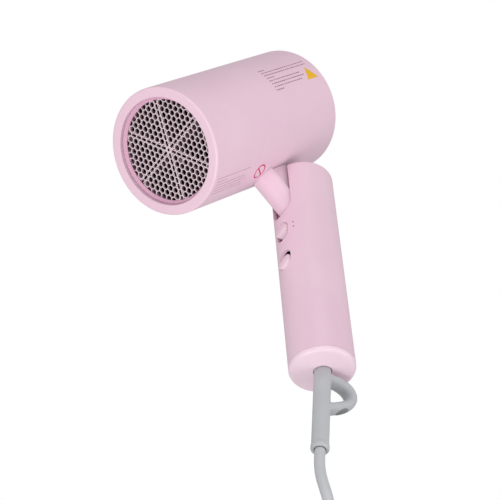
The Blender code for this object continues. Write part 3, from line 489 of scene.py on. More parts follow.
# %% [markdown]
# ## Finishes
#
# Nearly every finish here is a moulded one, so one function places the groups in a material: dye,
# grain and handling marks, then a bump. The grain is fractions of a millimetre across, and the
# object is measured in metres, which is why the scales are in the thousands.

# %% A moulded finish
def use_group(tree, name, vector, **values):
    made = add_node(tree, "ShaderNodeGroup", node_tree=GROUPS[name])
    link(tree, vector, made.inputs["Vector"])
    for label, value in values.items():
        socket = made.inputs[label.replace("_", " ")]
        socket.default_value = (*value, 1) if socket.type == "RGBA" else value
    return made


def bumped(tree, shader, height, strength, distance=0.00005):
    bump = add_node(tree, "ShaderNodeBump")
    bump.inputs["Strength"].default_value = strength
    bump.inputs["Distance"].default_value = distance
    link(tree, height, bump.inputs["Height"])
    link(tree, bump.outputs["Normal"], shader.inputs["Normal"])
    return bump


def moulded(name, colour, second, roughness=0.42, grain=2600.0, bump=0.25, marks=0.5, cloud=22.0,
            **constants):
    """Moulded plastic or rubber: cloudy dye, fine grain, faint handling marks."""
    finish, tree, shader = new_material(name)
    where = add_node(tree, "ShaderNodeTexCoord").outputs["Object"]
    dye = use_group(tree, "cloudy_dye", where, Colour=colour, Second_Colour=second, Scale=cloud)
    skin = use_group(tree, "fine_grain", where, Scale=grain, Roughness=roughness, Spread=0.1)
    touched = use_group(tree, "handling_marks", where, Scale=70.0, Amount=marks)
    link(tree, blended(tree, maths(tree, "MULTIPLY", touched.outputs["Mask"], 0.25),
                       dye.outputs["Colour"], tuple(0.88 * part for part in second)),
         shader.inputs["Base Color"])
    duller = maths(tree, "MULTIPLY", touched.outputs["Mask"], 0.12)
    link(tree, maths(tree, "ADD", skin.outputs["Roughness"], duller, True), shader.inputs["Roughness"])
    bumped(tree, shader, skin.outputs["Height"], bump)
    for label, value in constants.items():
        shader.inputs[label.replace("_", " ")].default_value = value
    return finish


body_pink = moulded("body_pink", (0.79, 0.57, 0.67), (0.76, 0.53, 0.645), 0.40, Specular_IOR_Level=0.45)
# A lighter copy of the body pink, for the end cap: painted light on its underside, which faces the lamps below.
pale_pink = moulded("pale_pink", (0.84, 0.66, 0.74), (0.81, 0.62, 0.71), 0.42)
# A still lighter copy of the body pink, for the switch knobs: painted light standing in for the light that
# catches the knobs' lower walls.
knob_pink = moulded("knob_pink", (0.88, 0.68, 0.76), (0.85, 0.63, 0.73), 0.42)
# A darker, deeper copy of the body pink, for the collar: painted shade inside the recess behind the outlet lip.
recess_pink = moulded("recess_pink", (0.72, 0.42, 0.56), (0.68, 0.38, 0.53), 0.45)
guard_rubber = moulded("guard_rubber", (0.50, 0.515, 0.53), (0.46, 0.475, 0.495), 0.58, 3400.0, 0.4)
pad_rubber = moulded("pad_rubber", (0.16, 0.165, 0.175), (0.26, 0.265, 0.275), 0.75, 1500.0, 0.9, 0.8, 900.0)
cord_rubber = moulded("cord_rubber", (0.53, 0.545, 0.56), (0.49, 0.505, 0.525), 0.50, 2800.0, 0.3)
ink_mauve = moulded("ink_mauve", (0.32, 0.15, 0.24), (0.27, 0.12, 0.20), 0.6)
ink_faint = moulded("ink_faint", (0.50, 0.32, 0.42), (0.46, 0.28, 0.38), 0.6)
ink_red = moulded("ink_red", (0.62, 0.02, 0.12), (0.55, 0.015, 0.10), 0.5)
ink_amber = moulded("ink_amber", (0.82, 0.47, 0.02), (0.76, 0.40, 0.01), 0.5)
black_plastic = moulded("black_plastic", (0.022, 0.018, 0.020), (0.03, 0.025, 0.027), 0.5, marks=0.2)
dark_motor_plastic = moulded("duct_plastic", (0.020, 0.010, 0.014), (0.028, 0.014, 0.018), 0.6)
circuit_green = moulded("circuit_green", (0.02, 0.13, 0.05), (0.03, 0.17, 0.06), 0.4, 900.0, 0.3)
print(len(bpy.data.materials), "finishes so far")


# %% Metals, mica and woven sleeves
def metal(name, colour, roughness, stretch, metallic=1.0):
    """Drawn or brushed metal; stretch sets how fine the lines are along each axis."""
    finish, tree, shader = new_material(name)
    where = add_node(tree, "ShaderNodeTexCoord").outputs["Object"]
    lines = use_group(tree, "brushed_lines", where, Stretch=stretch, Roughness=roughness)
    touched = use_group(tree, "handling_marks", where, Scale=150.0, Amount=0.6)
    link(tree, blended(tree, maths(tree, "MULTIPLY", touched.outputs["Mask"], 0.5), colour,
                       tuple(0.7 * part for part in colour)), shader.inputs["Base Color"])
    link(tree, lines.outputs["Roughness"], shader.inputs["Roughness"])
    shader.inputs["Metallic"].default_value = metallic
    bumped(tree, shader, lines.outputs["Height"], 0.2)
    return finish


def woven(name, colour, scale, roughness=0.7):
    finish, tree, shader = new_material(name)
    where = add_node(tree, "ShaderNodeTexCoord").outputs["Object"]
    weave = use_group(tree, "braid", where, Scale=scale)
    link(tree, blended(tree, weave.outputs["Height"], tuple(0.6 * part for part in colour), colour),
         shader.inputs["Base Color"])
    shader.inputs["Roughness"].default_value = roughness
    bumped(tree, shader, weave.outputs["Height"], 0.7, 0.0001)
    return finish


steel = metal("steel", (0.60, 0.60, 0.61), 0.30, (1500, 1500, 120))
brass = metal("brass", (0.78, 0.58, 0.27), 0.28, (2500, 150, 2500))
heater_wire = metal("heater_wire", (0.08, 0.045, 0.05), 0.5, (3000, 3000, 3000), 0.85)
grille_metal = metal("grille_metal", (0.84, 0.70, 0.75), 0.38, (900, 900, 900), 0.3)
wire_sleeve = woven("wire_sleeve", (0.66, 0.62, 0.55), 420.0)
hook_tape = woven("hook_tape", (0.030, 0.030, 0.032), 700.0, 0.85)
mica = moulded("mica", (0.075, 0.035, 0.045), (0.045, 0.020, 0.028), 0.45, 700.0, 0.6, 0.8, 160.0)
print(len(bpy.data.materials), "finishes in all")


# %% [markdown]
# ## Tools for shapes
#
# Round casings are turned: a profile drawn on one side of the axis goes through a Screw modifier.
# Holes are cut with Boolean modifiers. `plain` then turns the result into an ordinary mesh with
# its place in its points, which is what a finished piece should be.

# %% Plain meshes, finishing and joining
MERGE = 0.000002


def plain(shape, matrix=None, merge=MERGE):
    """Replace a shape by its evaluated mesh, welded and facing outwards, placed by the matrix."""
    graph = bpy.context.evaluated_depsgraph_get()
    mesh = bpy.data.meshes.new_from_object(shape.evaluated_get(graph))
    mesh.transform(shape.matrix_world if matrix is None else matrix)
    work = bmesh.new()
    work.from_mesh(mesh)
    bmesh.ops.remove_doubles(work, verts=work.verts, dist=merge)
    bmesh.ops.dissolve_degenerate(work, edges=work.edges, dist=merge)
    bmesh.ops.recalc_face_normals(work, faces=work.faces)
    work.to_mesh(mesh)
    work.free()
    name = shape.name
    bpy.data.objects.remove(shape, do_unlink=True)
    return add_object(name, mesh)


def finished(piece, material, body, stands_for=(), sharp=32):
    """Material, smooth shading, the body it rides on, and the nodes that it stands for."""
    piece.data.materials.clear()
    piece.data.materials.append(material)
    if piece.type == "MESH":
        piece.data.shade_smooth()
        piece.data.set_sharp_from_angle(angle=math.radians(sharp))
    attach(piece, body)
    if stands_for:
        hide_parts(*stands_for)
    return piece


def joined(name, shapes):
    work = bmesh.new()
    for shape in shapes:
        work.from_mesh(shape.data)
        bpy.data.objects.remove(shape, do_unlink=True)
    mesh = bpy.data.meshes.new(name)
    work.to_mesh(mesh)
    work.free()
    return add_object(name, mesh)


# %% Turned, flat and round shapes, and cutting
def arc(centre, radius, start, end, steps):
    angles = [math.radians(start + (end - start) * i / steps) for i in range(steps + 1)]
    return [(centre[0] + radius * math.cos(a), centre[1] + radius * math.sin(a)) for a in angles]


def turned(name, profile, matrix=None, steps=192):
    """Turn a (radius, height) profile round the matrix's Z; off the axis it closes into a ring."""
    count = len(profile)
    edges = [(i, i + 1) for i in range(count - 1)]
    if profile[0][0] > 0:
        edges.append((count - 1, 0))
    mesh = bpy.data.meshes.new(name)
    mesh.from_pydata([(radius, 0, height) for radius, height in profile], edges, [])
    shape = add_object(name, mesh)
    screw = shape.modifiers.new("turn", "SCREW")
    screw.angle = 2 * math.pi
    screw.steps = screw.render_steps = steps
    screw.use_merge_vertices = True
    screw.merge_threshold = MERGE
    return plain(shape, matrix or Matrix.Identity(4))


def plate(name, outline, low, high, matrix=None):
    """A flat outline in the matrix's XY, given its thickness from low to high along Z."""
    curve = bpy.data.curves.new(name, "CURVE")
    curve.dimensions = "2D"
    curve.fill_mode = "BOTH"
    curve.extrude = (high - low) / 2
    spline = curve.splines.new("POLY")
    spline.points.add(len(outline) - 1)
    for target, (x, y) in zip(spline.points, outline):
        target.co = (x, y, 0, 1)
    spline.use_cyclic_u = True
    lifted = Matrix.Translation((0, 0, (low + high) / 2))
    return plain(add_object(name, curve), (matrix or Matrix.Identity(4)) @ lifted)


def box(name, low, high, matrix=None):
    mesh = bpy.data.meshes.new(name)
    work = bmesh.new()
    bmesh.ops.create_cube(work, size=1)
    low, high = Vector(low), Vector(high)
    bmesh.ops.scale(work, verts=work.verts, vec=high - low)
    bmesh.ops.translate(work, verts=work.verts, vec=(low + high) / 2)
    work.to_mesh(mesh)
    work.free()
    mesh.transform(matrix or Matrix.Identity(4))
    return add_object(name, mesh)


def rod(name, radius, low, high, matrix=None, steps=96):
    return plate(name, arc((0, 0), radius, 0, 360 - 360 / steps, steps - 1), low, high, matrix)


def combined(shape, tools, operation="DIFFERENCE"):
    """Cut, join or trim a shape with other shapes, which are then removed."""
    for tool in tools:
        step = shape.modifiers.new(tool.name, "BOOLEAN")
        step.operation = operation
        step.object = tool
    result = plain(shape)
    for tool in tools:
        bpy.data.objects.remove(tool, do_unlink=True)
    return result


def rounded(shape, width, segments=3, angle=40):
    """Roll the edges that are sharper than an angle."""
    edge = shape.modifiers.new("rounding", "BEVEL")
    edge.width = width
    edge.segments = segments
    edge.limit_method = "ANGLE"
    edge.angle_limit = math.radians(angle)
    edge.use_clamp_overlap = True
    return plain(shape)


AT_HINGE = matrix_of(air, left, upward, hinge)
FACING_FRONT = matrix_of(Vector((0, 1, 0)), Vector((0, 0, 1)), Vector((1, 0, 0)), Vector())
print("shape tools ready")

# %% [markdown]
# ## The barrel
#
# The barrel is one thin moulded tube with a turned-in lip at the outlet. Its ends are rolled, and
# an opening underneath lets the neck in. Behind the lip sits a collar with a slightly conical wall
# that holds the grille.

# %% Barrel shell
BARREL_WALL = 0.002
LIP_RADIUS = 0.0294
LIP_THICKNESS = 0.0022
BARREL_EDGE = 0.0012
NECK_WIDTH = 0.016
NECK_NOSE = 0.0104
NECK_BACK = 0.0035
NECK_CLEARANCE = 0.0004


def neck_outline(clearance=0.0):
    """D-shaped section of the neck: round nose to the front, flat back."""
    radius = NECK_WIDTH / 2
    centre = NECK_NOSE - radius
    half_angle = math.degrees(math.acos((NECK_BACK - centre) / radius))
    nose = arc((centre, 0), radius + clearance, -half_angle, half_angle, 60)
    return [(x - clearance if x < NECK_BACK + clearance else x, y) for x, y in nose]


edge = BARREL_EDGE
profile = [(LIP_RADIUS + 0.0003, 0.0)]
profile += arc((BARREL_RADIUS - edge, -edge), edge, 90, 0, 10)
profile += arc((BARREL_RADIUS - edge, -barrel_length + edge), edge, 0, -90, 10)
profile += [(BARREL_RADIUS - BARREL_WALL, -barrel_length), (BARREL_RADIUS - BARREL_WALL, -LIP_THICKNESS)]
profile += [(LIP_RADIUS, -LIP_THICKNESS), (LIP_RADIUS, -0.0003)]
barrel = turned("barrel_case", profile, TURNED_BARREL, 256)
neck_top = -hinge_low - BARREL_RADIUS
opening = plate("neck_opening", neck_outline(NECK_CLEARANCE), neck_top - 0.004, neck_top + 0.02, AT_HINGE)
barrel = combined(barrel, [opening])
finished(barrel, body_pink, "barrel", ["barrel_shell"])
print("barrel case:", len(barrel.data.polygons), "faces")

# %% Collar behind the lip
grille_front = reach("outlet_grille", air, outlet_centre)[1]
grille_back = reach("outlet_grille", air, outlet_centre)[0]
collar_back, collar_front = reach("outlet_ring", air, outlet_centre)
SIGHT_RADIUS = 0.02765
COLLAR_OUTER = BARREL_RADIUS - BARREL_WALL - 0.0003
GRILLE_RADIUS = SIGHT_RADIUS + 0.0022
seat = grille_front + 0.0003
profile = [(LIP_RADIUS - 0.0003, collar_front), (COLLAR_OUTER, collar_front), (COLLAR_OUTER, collar_back)]
profile += [(GRILLE_RADIUS + 0.0003, collar_back), (GRILLE_RADIUS + 0.0003, seat)]
profile += arc((SIGHT_RADIUS + 0.0002, seat + 0.0002), 0.0002, 270, 180, 4)
collar = turned("outlet_collar", profile, TURNED_BARREL, 256)
# The collar's darker pink is painted shade in the recess.
finished(collar, recess_pink, "barrel", ["outlet_ring"])
print("collar seat", round(1000 * seat, 2), "mm behind the outlet")

# %% [markdown]
# ## Honeycomb plates
#
# A honeycomb is a pattern that repeats, so Geometry Nodes make it. Two rectangular grids of
# points, one shifted by half a cell, form the hexagonal lattice. Each point gets a rounded hexagon
# curve, Fill Curve turns the disc's circle with all the hexagons inside it into a flat face with
# holes, and Extrude gives it a thickness. The same tree makes the outlet grille, the rear cover
# and the lint filter, with other numbers in its named inputs.

# %% Geometry node helpers
def new_tree(name, inputs):
    """A geometry tree with named float inputs, its group input and its output node."""
    tree = bpy.data.node_groups.new(name, "GeometryNodeTree")
    for label, value in inputs.items():
        made = tree.interface.new_socket(label, in_out="INPUT", socket_type="NodeSocketFloat")
        made.default_value = value
    kind = "NodeSocketMaterial"
    tree.interface.new_socket("Material", in_out="INPUT", socket_type=kind)
    tree.interface.new_socket("Geometry", in_out="OUTPUT", socket_type="NodeSocketGeometry")
    return tree, tree.nodes.new("NodeGroupInput"), tree.nodes.new("NodeGroupOutput")


def put(tree, kind, values=None, **settings):
    """A node with its sockets filled by name or number, from values or from other nodes."""
    made = add_node(tree, kind, **settings)
    for key, value in (values or {}).items():
        socket = made.inputs[key]
        if isinstance(value, bpy.types.NodeSocket):
            link(tree, value, socket)
        else:
            socket.default_value = value
    return made


def finish_tree(tree, ins, outs, geometry):
    """End a tree with Realize Instances and Set Material."""
    real = put(tree, "GeometryNodeRealizeInstances", {"Geometry": geometry})
    dressed = put(tree, "GeometryNodeSetMaterial", {"Geometry": real.outputs[0],
                                                    "Material": ins.outputs["Material"]})
    link(tree, dressed.outputs[0], outs.inputs["Geometry"])


def grown(name, tree, material, matrix=None, **values):
    """Run a geometry tree with some inputs set, and keep its result as a plain mesh."""
    shape = add_object(name, bpy.data.meshes.new(name))
    nodes_modifier = shape.modifiers.new("nodes", "NODES")
    nodes_modifier.node_group = tree
    for socket in tree.interface.items_tree:
        if socket.in_out == "INPUT":
            label = socket.name.replace(" ", "_")
            if label in values:
                nodes_modifier[socket.identifier] = values[label]
            elif socket.name == "Material":
                nodes_modifier[socket.identifier] = material
    return plain(shape, matrix or Matrix.Identity(4))


# %% Honeycomb tree
def honeycomb_tree():
    tree, ins, outs = new_tree("honeycomb", {"Pitch": 0.0034, "Web": 0.00045, "Radius": 0.03,
                                             "Hole Reach": 0.028, "Thickness": 0.001,
                                             "Corner": 0.0005})
    pitch = ins.outputs["Pitch"]
    row = maths(tree, "MULTIPLY", pitch, math.sqrt(3))

    def count(step):
        half = maths(tree, "FLOOR", maths(tree, "DIVIDE", ins.outputs["Radius"], step), 0)
        return maths(tree, "MULTIPLY_ADD", half, 2), half

    sizes = {}
    for axis, step in (("X", pitch), ("Y", row)):
        number, _ = count(step)
        number.node.inputs[2].default_value = 3
        sizes[f"Vertices {axis}"] = number
        sizes[f"Size {axis}"] = maths(tree, "MULTIPLY", maths(tree, "SUBTRACT", number, 1), step)
    grid = put(tree, "GeometryNodeMeshGrid", sizes)
    shift = put(tree, "ShaderNodeCombineXYZ", {"X": maths(tree, "MULTIPLY", pitch, 0.5),
                                               "Y": maths(tree, "MULTIPLY", row, 0.5)})
    second = put(tree, "GeometryNodeTransform", {"Geometry": grid.outputs[0],
                                                 "Translation": shift.outputs[0]})
    both = put(tree, "GeometryNodeJoinGeometry")
    link(tree, grid.outputs[0], both.inputs[0])
    link(tree, second.outputs[0], both.inputs[0])
    place = put(tree, "GeometryNodeInputPosition")
    far = put(tree, "ShaderNodeVectorMath", {0: place.outputs[0]}, operation="LENGTH")
    outside = maths(tree, "GREATER_THAN", far.outputs["Value"], ins.outputs["Hole Reach"])
    kept = put(tree, "GeometryNodeDeleteGeometry", {"Geometry": both.outputs[0], "Selection": outside})
    flats = maths(tree, "SUBTRACT", pitch, ins.outputs["Web"])
    corner = maths(tree, "MULTIPLY", flats, 0.5 / math.cos(math.radians(30)))
    hexagon = put(tree, "GeometryNodeCurvePrimitiveCircle", {"Resolution": 6, "Radius": corner})
    upright = put(tree, "GeometryNodeTransform", {"Geometry": hexagon.outputs[0],
                                                  "Rotation": (0, 0, math.radians(30))})
    soft = put(tree, "GeometryNodeFilletCurve", {"Curve": upright.outputs[0], "Count": 3,
                                                 "Radius": ins.outputs["Corner"]}, mode="POLY")
    cells = put(tree, "GeometryNodeInstanceOnPoints", {"Points": kept.outputs[0],
                                                       "Instance": soft.outputs[0]})
    real = put(tree, "GeometryNodeRealizeInstances", {"Geometry": cells.outputs[0]})
    rim = put(tree, "GeometryNodeCurvePrimitiveCircle", {"Resolution": 192,
                                                         "Radius": ins.outputs["Radius"]})
    outline = put(tree, "GeometryNodeJoinGeometry")
    link(tree, real.outputs[0], outline.inputs[0])
    link(tree, rim.outputs[0], outline.inputs[0])
    flat = put(tree, "GeometryNodeFillCurve", {"Curve": outline.outputs[0]})
    up = put(tree, "ShaderNodeCombineXYZ", {"Z": ins.outputs["Thickness"]})
    thick = put(tree, "GeometryNodeExtrudeMesh", {"Mesh": flat.outputs[0], "Offset": up.outputs[0],
                                                  "Offset Scale": 1.0, "Individual": False})
    under = put(tree, "GeometryNodeFlipFaces", {"Mesh": flat.outputs[0]})
    whole = put(tree, "GeometryNodeJoinGeometry")
    link(tree, thick.outputs["Mesh"], whole.inputs[0])
    link(tree, under.outputs[0], whole.inputs[0])
    finish_tree(tree, ins, outs, whole.outputs[0])
    return tree


HONEYCOMB = honeycomb_tree()
print("honeycomb tree:", len(HONEYCOMB.nodes), "nodes")


# %% Paired ribs that cross at the middle
def paired_ribs_tree():
    tree, ins, outs = new_tree("paired_ribs", {"Length": 0.055, "Apart": 0.0019, "Radius": 0.00022})
    half = maths(tree, "MULTIPLY", ins.outputs["Length"], 0.5)
    start = put(tree, "ShaderNodeCombineXYZ", {"X": maths(tree, "MULTIPLY", half, -1)})
    end = put(tree, "ShaderNodeCombineXYZ", {"X": half})
    line = put(tree, "GeometryNodeCurvePrimitiveLine", {"Start": start.outputs[0], "End": end.outputs[0]})
    section = put(tree, "GeometryNodeCurvePrimitiveCircle", {"Resolution": 10,
                                                             "Radius": ins.outputs["Radius"]})
    wire = put(tree, "GeometryNodeCurveToMesh", {"Curve": line.outputs[0],
                                                 "Profile Curve": section.outputs[0],
                                                 "Fill Caps": True})
    pair = put(tree, "GeometryNodeJoinGeometry")
    for side in (0.5, -0.5):
        aside = put(tree, "ShaderNodeCombineXYZ", {"Y": maths(tree, "MULTIPLY", ins.outputs["Apart"], side)})
        moved = put(tree, "GeometryNodeTransform", {"Geometry": wire.outputs[0],
                                                    "Translation": aside.outputs[0]})
        link(tree, moved.outputs[0], pair.inputs[0])
    centre = put(tree, "GeometryNodePoints", {"Count": 3})
    number = put(tree, "GeometryNodeInputIndex")
    turn = put(tree, "ShaderNodeCombineXYZ", {"Z": maths(tree, "MULTIPLY", number.outputs[0],
                                                         math.radians(60))})
    star = put(tree, "GeometryNodeInstanceOnPoints", {"Points": centre.outputs[0],
                                                      "Instance": pair.outputs[0],
                                                      "Rotation": turn.outputs[0]})
    finish_tree(tree, ins, outs, star.outputs[0])
    return tree


RIBS = paired_ribs_tree()
print("rib tree:", len(RIBS.nodes), "nodes")

# %% Outlet grille
quarter = Matrix.Rotation(math.radians(90), 4, "Z")
THICKNESS = grille_front - grille_back
cells = grown("outlet_mesh", HONEYCOMB, grille_metal,
              TURNED_BARREL @ Matrix.Translation((0, 0, grille_back)) @ quarter,
              Radius=GRILLE_RADIUS, Hole_Reach=GRILLE_RADIUS - 0.0018, Thickness=THICKNESS)
finished(cells, grille_metal, "barrel", ["outlet_grille"])
ribs = grown("grille_ribs", RIBS, grille_metal,
             TURNED_BARREL @ Matrix.Translation((0, 0, grille_front)) @ quarter,
             Length=2 * SIGHT_RADIUS - 0.0006)
finished(ribs, grille_metal, "barrel")
print("grille:", len(cells.data.polygons), "faces")

# %% Rear cover with its skirt, and the lint filter behind it
cover_back, cover_front = reach("rear_cover", air, outlet_centre)
COVER_WALL = 0.0018
skirt = COLLAR_OUTER - 0.0016
plate_at = Matrix.Translation((0, 0, cover_back))
cover = grown("inlet_mesh", HONEYCOMB, body_pink, TURNED_BARREL @ plate_at @ quarter,
              Pitch=0.0046, Web=0.0011, Radius=skirt, Hole_Reach=0.0272, Thickness=COVER_WALL - 0.0002,
              Corner=0.0006)
profile = arc((COLLAR_OUTER - 0.0008, cover_front - 0.0008), 0.0008, 90, 0, 6)
profile += arc((COLLAR_OUTER - 0.0008, cover_back + 0.0008), 0.0008, 0, -90, 6)
profile += [(skirt - 0.0006, cover_back), (skirt - 0.0006, cover_back + COVER_WALL)]
profile += [(COLLAR_OUTER - 0.0018, cover_back + COVER_WALL), (COLLAR_OUTER - 0.0018, cover_front)]
rim = turned("inlet_rim", profile, TURNED_BARREL)
finished(cover, body_pink, "barrel", ["rear_cover"])
finished(rim, body_pink, "barrel")
filter_back, filter_front = reach("inlet_filter", air, outlet_centre)
lint = grown("lint_filter", HONEYCOMB, black_plastic,
             TURNED_BARREL @ Matrix.Translation((0, 0, filter_back)) @ quarter,
             Pitch=0.0016, Web=0.0004, Radius=COLLAR_OUTER - 0.0025, Hole_Reach=COLLAR_OUTER - 0.0040,
             Thickness=filter_front - filter_back, Corner=0.00005)
finished(lint, black_plastic, "barrel", ["inlet_filter"])
print("rear cover:", len(cover.data.polygons), "faces; filter:", len(lint.data.polygons), "faces")

# %% [markdown]
# ## The neck
#
# The neck is a short column with a D-shaped section: a round nose in front with the cable's way in
# it, and a narrower hollow tongue behind. Its lower end is a knuckle, the same D swept round the
# hinge pin, so that it turns inside the handle's slot. Column, tongue, knuckle and the saddle
# inside the barrel are joined, then bored.

# %% Neck
SADDLE_LENGTH, SADDLE_WIDTH, SADDLE_THICKNESS = 0.026, 0.028, 0.002
CABLE_SLOT = 0.008
PIN_BORE, WASHER_SEAT, WASHER_DEPTH = 0.0028, 0.0055, 0.0009
saddle_outer = BARREL_RADIUS - BARREL_WALL - 0.0003
saddle_centre = (NECK_NOSE + NECK_BACK) / 2
column_top = -hinge_low - saddle_outer + 0.8 * SADDLE_THICKNESS + 0.0003
neck = plate("neck", neck_outline(), -0.0006, column_top, AT_HINGE)
low, high = (hinge_back + saddle_centre + side * SADDLE_LENGTH / 2 for side in (-1, 1))
inner = saddle_outer - SADDLE_THICKNESS
saddle = turned("saddle", [(inner, high), (saddle_outer, high), (saddle_outer, low), (inner, low)],
                TURNED_BARREL)
trim = box("saddle_trim", (low - 0.01, -SADDLE_WIDTH / 2, -0.05), (high + 0.01, SADDLE_WIDTH / 2, -0.02), BARREL)
saddle = combined(saddle, [trim], "INTERSECT")
half = NECK_WIDTH / 2
swept = arc((NECK_NOSE - half - 0.00005, 0), half, 80, -80, 40)
swept = [(0, swept[0][1])] + swept + [(0, swept[-1][1])]
ON_PIN = AT_HINGE @ Matrix.Rotation(math.radians(-90), 4, "X")
knuckle = turned("knuckle", swept, ON_PIN, 96)
ACROSS = AT_HINGE @ Matrix.Rotation(math.radians(90), 4, "X")
TONGUE_WIDTH, TONGUE_WALL = 0.0132, 0.002
tongue_back = NECK_NOSE - 0.0001
outline = arc((0, 0), tongue_back, 180, 260, 30)
outline += [(NECK_BACK + 0.0005, outline[-1][1]), (NECK_BACK + 0.0005, column_top), (-tongue_back, column_top)]
tongue = rounded(plate("tongue", outline, -TONGUE_WIDTH / 2, TONGUE_WIDTH / 2, ACROSS), 0.0003, 2, 60)
room = rod("barrel_room", BARREL_RADIUS + 0.0003, -barrel_length, 0, TURNED_BARREL, 256)
tongue = combined(tongue, [room])
neck = combined(neck, [saddle, tongue, knuckle], "UNION")
back, front, wide = NECK_BACK + 0.0013, NECK_NOSE - 0.002, NECK_NOSE + 0.001
window = [(-wide, -wide), (0.002, -wide), (0.002, -0.0012), (front, -0.0012), (front, column_top + 0.004)]
window += [(back, column_top + 0.004), (back, 0.0025), (-wide, 0.0025)]
cable_way = plate("cable_way", window, -CABLE_SLOT / 2, CABLE_SLOT / 2, ACROSS)
floor_of = NECK_WIDTH / 2 - WASHER_DEPTH
stepped = [(0, NECK_WIDTH), (WASHER_SEAT, NECK_WIDTH), (WASHER_SEAT, floor_of), (PIN_BORE, floor_of)]
stepped += [(PIN_BORE, -floor_of), (WASHER_SEAT, -floor_of), (WASHER_SEAT, -NECK_WIDTH), (0, -NECK_WIDTH)]
bore = turned("pin_bore", stepped, ON_PIN, 72)
pocket = [(TONGUE_WALL - NECK_NOSE, 0.0025 + TONGUE_WALL), (back - TONGUE_WALL, 0.0025 + TONGUE_WALL)]
pocket += [(back - TONGUE_WALL, column_top + 0.004), (TONGUE_WALL - NECK_NOSE, column_top + 0.004)]
pocket_half = TONGUE_WIDTH / 2 - TONGUE_WALL
pocket = plate("tongue_pocket", pocket, -pocket_half, pocket_half, ACROSS)
neck = combined(neck, [cable_way, bore, pocket])
finished(neck, body_pink, "barrel", ["hinge_neck"])
print("neck:", len(neck.data.polygons), "faces")

# %% [markdown]
# ## The handle
#
# The handle is a plain round sleeve, closed at the top, with three openings in its front: the slot
# that the neck folds into, and a round-ended slot for each switch. A flat cap closes its end.

# %% Handle sleeve
HANDLE_WALL = 0.002
HANDLE_EDGE = 0.0018
SLOT_HALF = NECK_WIDTH / 2 + NECK_CLEARANCE
SLOT_DEPTH = NECK_NOSE + NECK_CLEARANCE + 0.0001
FORK_ROOM = NECK_NOSE + 0.0007
SWITCH_SLOT = (0.010, 0.0124)
SWITCH_TRAVEL = 0.003
SWITCH_GAP = 0.0002
handle_inner = HANDLE_RADIUS - HANDLE_WALL


def knob_height(node):
    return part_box(node)[0].z + (SWITCH_SLOT[1] + SWITCH_TRAVEL) / 2


power_slot = knob_height("power_slider") - SWITCH_TRAVEL / 2
heat_slot = knob_height("heat_slider") + SWITCH_TRAVEL / 2


def stadium(width, length, steps=32):
    radius, rise = width / 2, (length - width) / 2
    return arc((0, rise), radius, 0, 180, steps) + arc((0, -rise), radius, 180, 360, steps)


def front_plate(name, outline, height, low, high):
    return plate(name, [(y, z + height) for y, z in outline], low, high, FACING_FRONT)


profile = [(0, HANDLE_TOP)]
profile += arc((HANDLE_RADIUS - HANDLE_EDGE, HANDLE_TOP - HANDLE_EDGE), HANDLE_EDGE, 90, 0, 12)
profile += [(HANDLE_RADIUS, handle_low.z), (handle_inner, handle_low.z)]
profile += [(handle_inner, HANDLE_TOP - HANDLE_WALL), (0, HANDLE_TOP - HANDLE_WALL)]
handle = turned("handle_sleeve", profile)
slot_outline = arc((0, SLOT_HALF - SLOT_DEPTH), SLOT_HALF, 180, 360, 48)
slot_outline += [(SLOT_HALF, HANDLE_TOP), (-SLOT_HALF, HANDLE_TOP)]
cutters = [front_plate("neck_slot", slot_outline, hinge.z, hinge.x - FORK_ROOM, 0.03)]
for name, height in (("upper_slot", power_slot), ("lower_slot", heat_slot)):
    cutters.append(front_plate(name, stadium(*SWITCH_SLOT), height, 0.008, 0.03))
handle = combined(handle, cutters)
finished(handle, body_pink, "handle", ["handle_shell"])
print("handle sleeve:", len(handle.data.polygons), "faces")

# %% End cap
CAP_EDGE = 0.0024
cap_low, cap_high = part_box("handle_end_cap")
cap_floor = HANDLE_END + 0.0022
sleeve_end = handle_low.z - 0.00015
spigot = handle_inner - 0.0003
profile = [(0, cap_floor), (spigot - 0.002, cap_floor), (spigot - 0.002, cap_high.z), (spigot, cap_high.z)]
profile += [(spigot, sleeve_end), (HANDLE_RADIUS, sleeve_end)]
profile += arc((HANDLE_RADIUS - CAP_EDGE, HANDLE_END + CAP_EDGE), CAP_EDGE, 0, -90, 14)
profile += [(0, HANDLE_END)]
cap = turned("end_cap", profile)
cap = combined(cap, [rod("guard_hole", 0.0049, HANDLE_END - 0.002, cap_floor + 0.002)])
# The cap's lighter pink is painted light, not a colour of its own.
finished(cap, pale_pink, "handle", ["handle_end_cap"])
print("end cap:", len(cap.data.polygons), "faces")

# %% Switch knobs: round, wedge-topped, with rolled edges
KNOB_PROUD = 0.0017
knob_radius = (SWITCH_SLOT[1] - SWITCH_TRAVEL) / 2 - SWITCH_GAP
FLANGE = (0.0122, 0.0134, 0.0062)      # back, front, half width


def knob(name, node, centre):
    """A round knob cut by a slope, with the flange that keeps it in the slot."""
    across = matrix_of(Vector((0, 0, -1)), Vector((0, 1, 0)), Vector((1, 0, 0)), Vector((0, 0, centre)))
    piece = rod(name, knob_radius, FLANGE[0], HANDLE_RADIUS + 0.004, across)
    slope = math.atan2(KNOB_PROUD + 0.0006, 2 * knob_radius)
    middle = HANDLE_RADIUS + (KNOB_PROUD - 0.0006) / 2
    tilted = Matrix.Translation((middle, 0, centre)) @ Matrix.Rotation(-slope, 4, "Y")
    piece = combined(piece, [box("slope", (0, -0.01, -0.012), (0.01, 0.01, 0.012), tilted)])
    piece = rounded(piece, 0.0003)
    back, front, half_width = FLANGE
    low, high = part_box(node)
    flange = box("flange", (back, -half_width, low.z), (front, half_width, high.z))
    finger = box("finger", (0.0108, -0.0015, centre - 0.0012), (back + 0.0004, 0.0015, centre + 0.0012))
    piece = combined(piece, [flange, finger], "UNION")
    # The knob's lighter pink is painted light, not a colour of its own.
    return finished(piece, knob_pink, node, [node])


for name, node in (("power_knob", "power_slider"), ("heat_knob", "heat_slider")):
    made = knob(name, node, knob_height(node))
    print(name, len(made.data.polygons), "faces")

